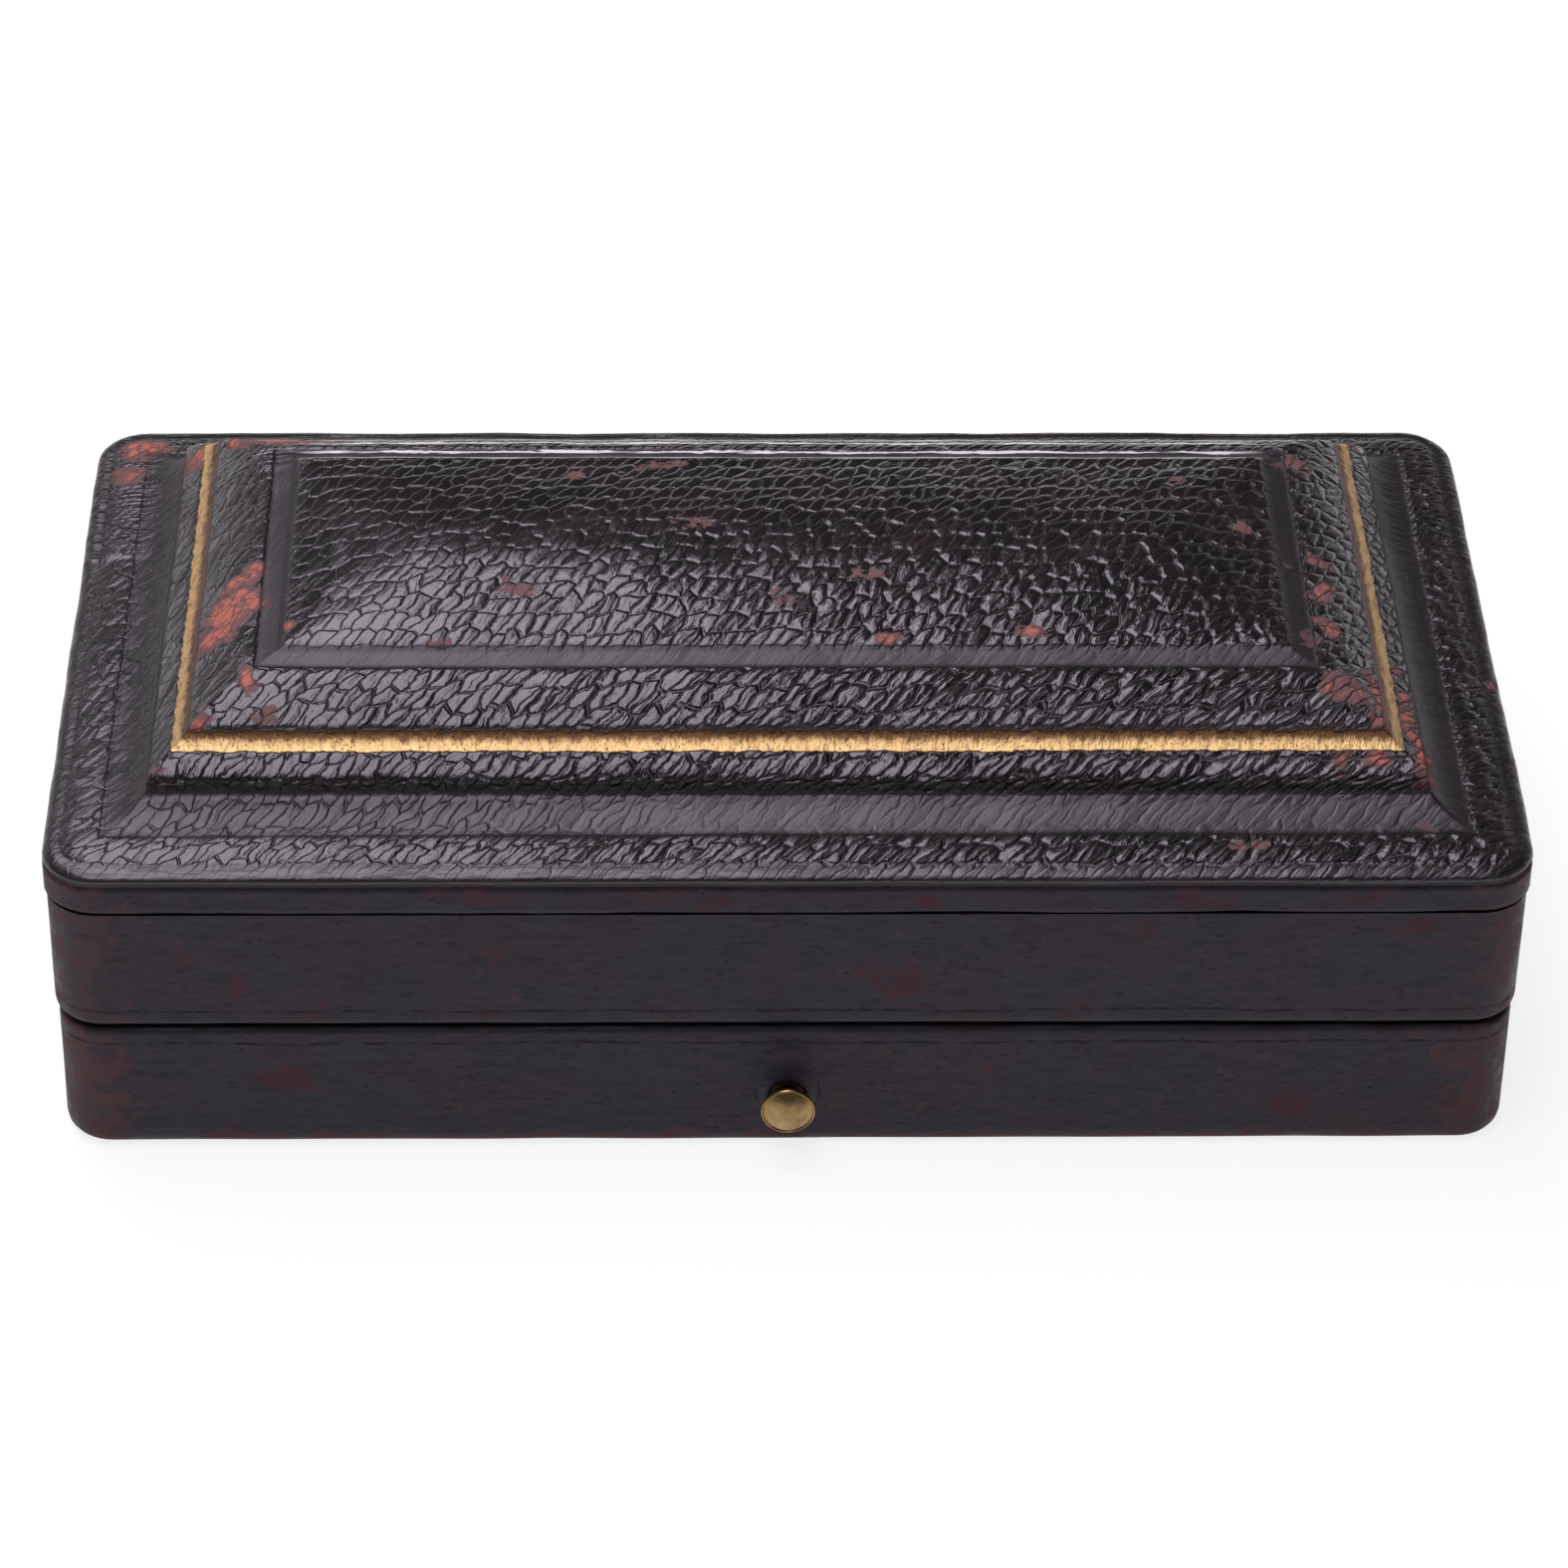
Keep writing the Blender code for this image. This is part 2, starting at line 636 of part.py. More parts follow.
    def insert(self):
        """The fitted insert of the base: a card, the floor of the recess, and the padded frame round it."""
        half = tuple(h - SEAT_GAP for h in LIP_INNER)
        card_top = BASE_RAIL_BOTTOM_Z + CARD
        floor_bottom = card_top + SEAT_GAP
        floor_top = floor_bottom + CARD
        frame_bottom = floor_top + SEAT_GAP
        frame_top = BASE_HEIGHT - INSERT_TOP_BELOW_SEAM
        block(
            "insert_card",
            (-half[0], -half[1], BASE_RAIL_BOTTOM_Z),
            (half[0], half[1], card_top),
            self.stuff["card"],
            self.parts,
        )
        block(
            "recess_floor",
            (-half[0], -half[1], floor_bottom),
            (half[0], half[1], floor_top),
            self.stuff["velvet"],
            self.parts,
        )
        rings = [(half, INSERT_CORNER, frame_bottom)]
        rings += [
            (tuple(h - inset for h in half), INSERT_CORNER, z)
            for inset, z in quarter_round(INSERT_EDGE, True, frame_top, True)
        ]
        frame = loft("insert_frame", rings, self.stuff["velvet"], self.parts, True, True)
        recess = (half[0] - RECESS_END_BORDER, half[1] - RECESS_SIDE_BORDER)
        rings = [(recess, RECESS_CORNER, frame_bottom - CUT_OVERRUN)]
        rings += [
            (tuple(h + inset for h in recess), RECESS_CORNER + inset, z)
            for inset, z in quarter_round(INSERT_EDGE, True, frame_top, True)
        ]
        flare = tuple(h + INSERT_EDGE for h in recess)
        rings.append((flare, RECESS_CORNER + INSERT_EDGE, frame_top + CUT_OVERRUN))
        cut(frame, make_cutter(loft("recess_cut", rings, None, self.tools, True, True)))

    def lid_carcass(self):
        """The moulded top board and the four rails of the lid."""
        profile = offset_profile(lid_profile(), SKIN)
        rings = [(tuple(h - SKIN for h in LID_HALF), CORNER_RADIUS - SKIN, TOP_BOARD_BOTTOM_Z)]
        rings += lid_rings(profile[1:])
        loft("lid_top_board", rings, self.stuff["wood"], self.parts, True, True)
        rails = self.rails(
            "lid", LID_RAIL_OUTER, LID_RAIL_INNER, LID_RAIL_CORNER, LID_RAIL_BOTTOM_Z, LID_RAIL_TOP_Z
        )
        cut(rails["front"], self.plate_seat(SEAT_GAP), self.tooth_mortise(), *self.plate_pin_holes())
        cut(rails["back"], self.hinge_rebate("lid_rebate", 1))
        cut(rails["back"], *self.nail_holes("lid", 1))

    def lid_covering(self):
        """The leather of the lid: a strip round the walls, and the grained skin over the mouldings."""
        profile = [(SIDE_HALF[1] - LID_RAIL_INNER[1], LID_BOTTOM_Z)]
        profile += quarter_round(SEAM_EDGE_RADIUS, False, LID_BOTTOM_Z, False)
        profile.append((0.0, SKIRT_BOTTOM_Z - SEAT_GAP))
        rings = [ring_at(SIDE_HALF, SIDE_CORNER, inset, z) for inset, z in profile]
        walls = loft("lid_side_leather", rings, self.stuff["leather"], self.parts)
        solidify(walls, LEATHER)
        cut(walls, self.plate_seat(SEAT_GAP), self.barrel_notch("lid_notch"))
        rings = lid_rings(lid_profile())
        skin = loft("lid_top_leather", rings, self.stuff["leather"], self.parts, cap_end=True)
        skin.data.materials.append(self.stuff["gilt"])
        self.gild(skin)
        solidify(skin, LEATHER)

    def gild(self, skin):
        """Gives the faces of the tooled line their gold leaf."""
        outer = EDGE_ROUND_WIDTH + BEAD_WIDTH + COVE_WIDTH + STEP_WIDTH + OGEE_WIDTH
        inner = outer + GILT_WIDTH
        for face in skin.data.polygons:
            corners = [skin.data.vertices[i].co for i in face.vertices]
            insets = [min(LID_HALF[0] - abs(co.x), LID_HALF[1] - abs(co.y)) for co in corners]
            if min(insets) > outer - MERGE_DISTANCE and max(insets) < inner + MERGE_DISTANCE:
                face.material_index = 1

    def lid_lining(self):
        """The lid's lining: covered strips on its walls, a card under the top, and a padded satin cushion."""
        outer = tuple(h - SEAT_GAP for h in LID_RAIL_INNER)
        inner = tuple(h - CARD for h in outer)
        card_top = LID_RAIL_TOP_Z - SEAT_GAP
        card_bottom = card_top - CARD
        strip_top = card_bottom - SEAT_GAP
        for name, sign in (("front", -1), ("back", 1)):
            near, far = sorted((sign * inner[1], sign * outer[1]))
            block(
                f"lid_lining_{name}",
                (-outer[0], near, LINING_BOTTOM_Z),
                (outer[0], far, strip_top),
                self.stuff["satin"],
                self.parts,
            )
        for name, sign in (("left", -1), ("right", 1)):
            near, far = sorted((sign * inner[0], sign * outer[0]))
            reach = inner[1] - SEAT_GAP
            block(
                f"lid_lining_{name}",
                (near, -reach, LINING_BOTTOM_Z),
                (far, reach, strip_top),
                self.stuff["satin"],
                self.parts,
            )
        block(
            "lid_pad_card",
            (-outer[0], -outer[1], card_bottom),
            (outer[0], outer[1], card_top),
            self.stuff["card"],
            self.parts,
        )
        self.lining_pad(tuple(h - SEAT_GAP for h in inner), card_bottom - SEAT_GAP)

    def lining_pad(self, half, top):
        """The satin cushion: flat where it is glued, drawn in at its sides, and crowned below."""
        bottom = top - LINING_PAD_THICKNESS
        edge = LINING_PAD_EDGE
        rings = [
            (tuple(h - edge * 8 for h in half), edge * 4, bottom),
            (tuple(h - edge * 4 for h in half), edge * 2, bottom + LINING_PAD_CROWN * 0.2),
            (tuple(h - edge for h in half), edge, bottom + LINING_PAD_CROWN),
            (tuple(h - edge * 0.25 for h in half), edge, bottom + LINING_PAD_CROWN + edge * 0.6),
            (half, edge, top - edge * 0.4),
            (tuple(h - edge * 0.2 for h in half), edge, top),
        ]
        loft("lid_satin_pad", rings, self.stuff["satin"], self.parts, True, True)

    def push_button(self):
        """The turned brass button: a low crown with a rim, on a shank that reaches the catch spring."""
        length = SHANK_END_Y - BUTTON_FACE_Y
        head = BUTTON_BACK_Y - BUTTON_FACE_Y
        profile = [(0.0, length)]
        profile += [
            (BUTTON_RADIUS * math.sin(turn), length - BUTTON_CROWN * (1 - math.cos(turn)))
            for turn in (math.pi / 6, math.pi / 3, math.pi / 2)
        ]
        profile += [
            (BUTTON_RADIUS, length - head),
            (SHANK_RADIUS, length - head),
            (SHANK_RADIUS, 0.0),
            (0.0, 0.0),
        ]
        start = (0.0, SHANK_END_Y, BUTTON_HEIGHT)
        turned("push_button", profile, start, (0, -1, 0), self.stuff["brass"], self.parts)

    def button_bush(self):
        """The brass bush that guides the shank through the front rail."""
        length = BUSH_BACK_Y - BUSH_FRONT_Y
        start = (0.0, BUSH_FRONT_Y, BUTTON_HEIGHT)
        profile = rod_profile(BUSH_OUTER_RADIUS, length)
        bush = turned("button_bush", profile, start, (0, 1, 0), self.stuff["brass"], self.parts)
        bore_start = (0.0, BUSH_FRONT_Y - CUT_OVERRUN, BUTTON_HEIGHT)
        bore_length = length + 2 * CUT_OVERRUN
        cut(bush, self.tool_rod("bush_bore", BUSH_INNER_RADIUS, bore_length, bore_start, (0, 1, 0)))

    def catch_spring(self):
        """The sprung brass arm, pinned at its far end, with the tongue and its tooth at the button."""
        low = BUTTON_HEIGHT - SPRING_ARM_HEIGHT / 2
        high = BUTTON_HEIGHT + SPRING_ARM_HEIGHT / 2
        spring = block(
            "catch_spring",
            (-SPRING_ARM_LENGTH, SPRING_OUTER_Y, low),
            (TONGUE_WIDTH / 2, SPRING_INNER_Y, high),
            self.stuff["brass"],
            self.parts,
        )
        half = TONGUE_WIDTH / 2
        bite = SPRING_THICKNESS / 2
        tongue = self.tool_block(
            "tongue", (-half, SPRING_OUTER_Y, high - bite), (half, SPRING_INNER_Y, TOOTH_TOP_Z)
        )
        tooth = self.tool_block(
            "tooth",
            (-half, TOOTH_TIP_Y, TOOTH_BOTTOM_Z),
            (half, SPRING_OUTER_Y + bite, TOOTH_TOP_Z),
            lambda middle, size: middle.y < 0 < middle.z,
            TOOTH_THICKNESS * TOOTH_NOSE_SHARE,
        )
        join(spring, tongue, tooth)
        hole = NAIL_RADIUS + PIN_CLEARANCE
        for place in self.spring_pin_places():
            name = f"spring_hole_{place}"
            x = self.spring_pin_x(place)
            start = (x, SPRING_OUTER_Y - CUT_OVERRUN, BUTTON_HEIGHT)
            cut(spring, self.tool_rod(name, hole, SPRING_THICKNESS + 2 * CUT_OVERRUN, start, (0, 1, 0)))
            self.nail(
                f"spring_pin_{place}", (x, SPRING_INNER_Y + SEAT_GAP + NAIL_HEAD, BUTTON_HEIGHT), (0, 1, 0)
            )

    @staticmethod
    def spring_pin_places():
        """The spring's pins, numbered from its far end."""
        return (1, 2)

    @staticmethod
    def spring_pin_x(place):
        """Where a pin holds the spring."""
        return -SPRING_ARM_LENGTH + SPRING_PIN_SPACING * (place - 0.5)

    def nail(self, name, head_face, outward):
        """A small brass nail. outward points out of the wood, and head_face is the middle of its head."""
        length = NAIL_LENGTH + NAIL_HEAD
        profile = [
            (0.0, length),
            (NAIL_HEAD_RADIUS, length),
            (NAIL_HEAD_RADIUS, NAIL_LENGTH),
            (NAIL_RADIUS, NAIL_LENGTH),
            (NAIL_RADIUS, 0.0),
            (0.0, 0.0),
        ]
        start = Vector(head_face) - Vector(outward) * length
        turned(name, profile, start, outward, self.stuff["brass"], self.parts, PIN_STEPS)

    def nail_hole(self, name, head_face, outward, head_room):
        """The stepped hole for a nail whose head sits in it, with clearance all round."""
        length = NAIL_LENGTH + NAIL_HEAD + PIN_CLEARANCE
        shoulder_at = length - NAIL_HEAD - PIN_CLEARANCE
        top = length + CUT_OVERRUN
        radius = NAIL_RADIUS + PIN_CLEARANCE
        head = NAIL_HEAD_RADIUS + PIN_CLEARANCE
        profile = [(0.0, top)]
        profile += [(head, top), (head, shoulder_at)] if head_room else [(radius, top)]
        profile += [(radius, shoulder_at), (radius, 0.0), (0.0, 0.0)]
        start = Vector(head_face) - Vector(outward) * length
        return make_cutter(turned(name, profile, start, outward, None, self.tools, PIN_STEPS))

    def front_pin_holes(self):
        """The holes for the spring's pins in the front rail."""
        holes = []
        for place in self.spring_pin_places():
            face = (self.spring_pin_x(place), SPRING_INNER_Y + SEAT_GAP + NAIL_HEAD, BUTTON_HEIGHT)
            holes.append(self.nail_hole(f"front_rail_hole_{place}", face, (0, 1, 0), False))
        return holes

    def plate_seat(self, room):
        """The seat of the strike plate in the lid's front rail and its leather."""
        half = PLATE_WIDTH / 2 + room
        return self.tool_block(
            "plate_seat",
            (-half, PLATE_OUTER_Y - room, LID_BOTTOM_Z - CUT_OVERRUN),
            (half, PLATE_INNER_Y + CUT_OVERRUN, PLATE_TOP_Z + room),
        )

    def tooth_mortise(self):
        """The room for the tooth over the strike plate."""
        half = PLATE_NOTCH_WIDTH / 2
        return self.tool_block(
            "tooth_mortise",
            (-half, TOOTH_TIP_Y - SEAT_GAP, LID_BOTTOM_Z),
            (half, PLATE_INNER_Y + CUT_OVERRUN, TOOTH_TOP_Z + TOOTH_OVER_PLATE),
        )

    def plate_pin_places(self):
        """The strike plate's two pins, by name and place."""
        y = (PLATE_OUTER_Y + PLATE_INNER_Y) / 2
        return [
            ("left", (-PLATE_PIN_SPACING / 2, y, LID_BOTTOM_Z)),
            ("right", (PLATE_PIN_SPACING / 2, y, LID_BOTTOM_Z)),
        ]

    def plate_pin_holes(self):
        """The holes for the strike plate's pins."""
        return [
            self.nail_hole(f"plate_hole_{name}", face, (0, 0, -1), True)
            for name, face in self.plate_pin_places()
        ]

    def strike_plate(self):
        """The brass plate in the lid that the tooth catches over, open at its inner edge."""
        half = PLATE_WIDTH / 2
        plate = block(
            "strike_plate",
            (-half, PLATE_OUTER_Y, LID_BOTTOM_Z),
            (half, PLATE_INNER_Y, PLATE_TOP_Z),
            self.stuff["brass"],
            self.parts,
        )
        notch = self.tool_block(
            "plate_notch",
            (-PLATE_NOTCH_WIDTH / 2, PLATE_EDGE_Y, LID_BOTTOM_Z - CUT_OVERRUN),
            (PLATE_NOTCH_WIDTH / 2, PLATE_INNER_Y + CUT_OVERRUN, PLATE_TOP_Z + CUT_OVERRUN),
        )
        cut(plate, notch, *self.plate_pin_holes())
        for name, face in self.plate_pin_places():
            self.nail(f"strike_pin_{name}", face, (0, 0, -1))

    def hinge_rebate(self, name, side):
        """The rebate for a leaf in a back rail's outer face. side is 1 on the lid and -1 on the base."""
        half = HINGE_LENGTH / 2 + SEAT_GAP
        end = HINGE_Z + side * (LEAF_REACH + SEAT_GAP)
        low, high = sorted((HINGE_Z, end))
        return self.tool_block(name, (-half, REBATE_Y, low), (half, HINGE_Y + BARREL_ROOM, high))

    def barrel_notch(self, name):
        """The gap in the leather where the hinge barrel shows."""
        half = HINGE_LENGTH / 2 + SEAT_GAP
        return self.tool_block(
            name,
            (-half, REBATE_Y, HINGE_Z - BARREL_ROOM),
            (half, HINGE_Y + BARREL_ROOM, HINGE_Z + BARREL_ROOM),
        )

    def nail_places(self, side):
        """The middles of the nail heads on one hinge leaf."""
        z = HINGE_Z + side * (LEAF_REACH + BARREL_ROOM) / 2
        first = -HINGE_LENGTH / 2 + NAIL_END_MARGIN
        spacing = (HINGE_LENGTH - 2 * NAIL_END_MARGIN) / (NAIL_COUNT - 1)
        return [(first + i * spacing, LEAF_OUTER_Y, z) for i in range(NAIL_COUNT)]

    def nail_holes(self, owner, side):
        """The holes for the nails of one hinge leaf."""
        return [
            self.nail_hole(f"{owner}_nail_hole_{i + 1}", face, (0, 1, 0), True)
            for i, face in enumerate(self.nail_places(side))
        ]

    def hinge_leaf(self, owner, side):
        """One leaf of the strip hinge with its knuckles. side is 1 on the lid and -1 on the base."""
        half = HINGE_LENGTH / 2
        low, high = sorted((HINGE_Z + side * KNUCKLE_GAP, HINGE_Z + side * LEAF_REACH))
        leaf = block(
            f"hinge_{owner}_leaf",
            (-half, LEAF_INNER_Y, low),
            (half, LEAF_OUTER_Y, high),
            self.stuff["brass"],
            self.parts,
        )
        for i in range(KNUCKLE_COUNT):
            left = -half + i * KNUCKLE_LENGTH
            right = left + KNUCKLE_LENGTH
            if (i % 2 == 0) == (side > 0):
                low, high = sorted((HINGE_Z - side * CUT_OVERRUN, HINGE_Z + side * BARREL_ROOM))
                room = self.tool_block(
                    f"{owner}_knuckle_room_{i + 1}",
                    (left - KNUCKLE_GAP / 2, LEAF_INNER_Y - CUT_OVERRUN, low),
                    (right + KNUCKLE_GAP / 2, LEAF_OUTER_Y + CUT_OVERRUN, high),
                )
                cut(leaf, room)
        cut(leaf, *self.nail_holes(f"{owner}_leaf", side))
        for i in range(KNUCKLE_COUNT):
            if (i % 2 == 0) != (side > 0):
                left = -half + i * KNUCKLE_LENGTH + KNUCKLE_GAP / 2 + BARREL_CLEARANCE
                length = KNUCKLE_LENGTH - KNUCKLE_GAP - 2 * BARREL_CLEARANCE
                place = (left, HINGE_Y, HINGE_Z)
                join(leaf, self.tool_rod(f"{owner}_knuckle_{i + 1}", BARREL_RADIUS, length, place, (1, 0, 0)))
        bore_start = (-half - CUT_OVERRUN, HINGE_Y, HINGE_Z)
        bore_length = HINGE_LENGTH + 2 * CUT_OVERRUN
        bore = self.tool_rod(
            f"{owner}_hinge_bore", HINGE_PIN_RADIUS + PIN_CLEARANCE, bore_length, bore_start, (1, 0, 0)
        )
        cut(leaf, bore)
        for i, face in enumerate(self.nail_places(side)):
            self.nail(f"hinge_{owner}_nail_{i + 1}", face, (0, 1, 0))

    def hinge_pin(self):
        """The wire pin through the knuckles."""
        turned(
            "hinge_pin",
            rod_profile(HINGE_PIN_RADIUS, HINGE_LENGTH),
            (-HINGE_LENGTH / 2, HINGE_Y, HINGE_Z),
            (1, 0, 0),
            self.stuff["brass"],
            self.parts,
        )

    def build(self):
        """Makes the base, the lid, the catch and the hinge."""
        base_rails = self.base_carcass()
        cut(base_rails["front"], *self.front_pin_holes())
        self.base_covering()
        self.lip()
        self.insert()
        self.lid_carcass()
        self.lid_covering()
        self.lid_lining()
        self.push_button()
        self.button_bush()
        self.catch_spring()
        self.strike_plate()
        self.hinge_leaf("base", -1)
        self.hinge_leaf("lid", 1)
        self.hinge_pin()


def main():
    """Clears the scene and builds the box in it."""
    clear_scene()
    Box().build()


main()
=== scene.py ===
"""Dresses the leather-covered presentation box.

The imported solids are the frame. The grained lid skin, the polished walls, the
gilding, the brasswork and the satin and velvet linings are built round them
here, in metres and at real size.
"""

from __future__ import annotations

import json
import logging
import math
from dataclasses import dataclass
from enum import Enum
from typing import Any, Iterable, Sequence

import bmesh
import bpy
import numpy as np
from mathutils import Matrix, Vector, noise

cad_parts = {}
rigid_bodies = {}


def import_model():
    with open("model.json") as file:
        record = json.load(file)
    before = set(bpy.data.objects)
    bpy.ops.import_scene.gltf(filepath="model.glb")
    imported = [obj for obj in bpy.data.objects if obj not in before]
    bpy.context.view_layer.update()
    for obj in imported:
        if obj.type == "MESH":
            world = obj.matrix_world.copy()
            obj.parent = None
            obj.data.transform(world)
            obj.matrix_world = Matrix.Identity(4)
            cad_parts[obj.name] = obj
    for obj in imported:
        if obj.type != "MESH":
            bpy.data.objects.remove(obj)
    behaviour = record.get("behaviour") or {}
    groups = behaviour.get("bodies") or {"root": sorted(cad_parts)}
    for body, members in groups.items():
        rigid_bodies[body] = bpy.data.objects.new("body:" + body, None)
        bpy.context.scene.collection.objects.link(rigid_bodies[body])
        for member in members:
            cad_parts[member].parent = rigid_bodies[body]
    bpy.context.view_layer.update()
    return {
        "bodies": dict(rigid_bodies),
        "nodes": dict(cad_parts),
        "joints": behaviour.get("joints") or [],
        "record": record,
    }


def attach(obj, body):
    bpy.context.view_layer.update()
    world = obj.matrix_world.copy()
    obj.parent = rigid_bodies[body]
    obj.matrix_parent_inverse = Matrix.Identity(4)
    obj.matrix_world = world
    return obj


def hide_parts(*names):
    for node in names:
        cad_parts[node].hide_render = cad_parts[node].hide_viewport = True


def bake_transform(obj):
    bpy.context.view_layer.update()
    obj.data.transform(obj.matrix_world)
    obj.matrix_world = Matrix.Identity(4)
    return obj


LOG = logging.getLogger("presentation_box")
MM = 0.001
TINY = 1e-6
NOISE_SEED = 67
SENSOR_MM = 36.0
Colour = tuple[float, float, float, float]
Line = list[tuple[float, float]]
Room = tuple[tuple[float, float, float], tuple[float, float, float]]
MIDDLE = (0.5, 0.5, 0.5)
WHITE: Colour = (1.0, 1.0, 1.0, 1.0)
# Settings that many nodes share.
SMOOTH = {"interpolation_type": "SMOOTHSTEP"}
COLOURS = {"data_type": "RGBA"}
VALUES = {"data_type": "FLOAT"}


class Body(Enum):
    """The moving bodies of the box."""

    BASE = "base"
    LID = "lid"
    BUTTON = "button"


class Side(Enum):
    """The four walls, with the way that each faces."""

    FRONT = (0, -1)
    RIGHT = (1, 0)
    BACK = (0, 1)
    LEFT = (-1, 0)


# ---------------------------------------------------------------- shader helpers


def linear(code: str) -> Colour:
    """Turns an sRGB hex colour into linear light.

    Args:
        code: The colour, such as "#b98a4a".

    Returns:
        Red, green, blue and an alpha of 1.
    """
    parts = [int(code[i : i + 2], 16) / 255 for i in (1, 3, 5)]
    light = [p / 12.92 if p <= 0.04045 else ((p + 0.055) / 1.055) ** 2.4 for p in parts]
    return (light[0], light[1], light[2], 1.0)


def feed(node: bpy.types.Node, inputs: Sequence[Any] | dict[str, Any]) -> None:
    """Gives a node what goes into it.

    Args:
        node: The node.
        inputs: A value, a socket, or a node, which gives its first live output, for each live
            input in order, or by name.
    """
    live = [s for s in node.inputs if s.enabled]
    if isinstance(inputs, dict):
        pairs = [(next(s for s in live if s.name == name), inputs[name]) for name in inputs]
    else:
        pairs = list(zip(live, inputs))
        assert len(pairs) == len(inputs), f"{node.name} has too many values"
    for socket, value in pairs:
        if isinstance(value, bpy.types.Node):
            value = next(s for s in value.outputs if s.enabled)
        if isinstance(value, bpy.types.NodeSocket):
            node.id_data.links.new(value, socket)
        else:
            socket.default_value = value


def add_node(
    tree: bpy.types.NodeTree,
    kind: str,
    inputs: Sequence[Any] | dict[str, Any] = (),
    stops: Sequence[tuple[float, Colour]] = (),
    **settings: Any,
) -> bpy.types.Node:
    """Adds a shader node with its settings, values and links.

    Args:
        tree: The material's node tree.
        kind: The node's type name, less its ShaderNode.
        inputs: What goes into it, in order or by name.
        stops: The stops of a colour ramp, as place and colour.
        **settings: Properties of the node.

    Returns:
        The new node.
    """
    made = tree.nodes.new(f"ShaderNode{kind}")
    for name, value in settings.items():
        setattr(made, name, value)
    if stops:
        ramp = made.color_ramp.elements
        while len(ramp) < len(stops):
            ramp.new(0.5)
        for element, (position, colour) in zip(ramp, stops):
            element.position = position
            element.color = colour
    feed(made, inputs)
    return made


# ---------------------------------------------------------------------- finishes


@dataclass(frozen=True)
class Finish:
    """A material with the name of the real stuff."""

    name: str

    def make(self) -> bpy.types.Material:
        """Makes the material and paints it."""
        material = bpy.data.materials.new(self.name)
        material.use_nodes = True
        tree = material.node_tree
        self.paint(tree, tree.nodes["Principled BSDF"])
        return material

    def paint(self, tree: bpy.types.NodeTree, shader: bpy.types.Node) -> None:
        """Adds the pattern of the stuff to its shader."""

    @staticmethod
    def millimetres(tree: bpy.types.NodeTree) -> bpy.types.Node:
        """Gives the place on the piece in millimetres."""
        place = add_node(tree, "TexCoord").outputs["Object"]
        return add_node(tree, "Mapping", {"Vector": place, "Scale": (1 / MM,) * 3})


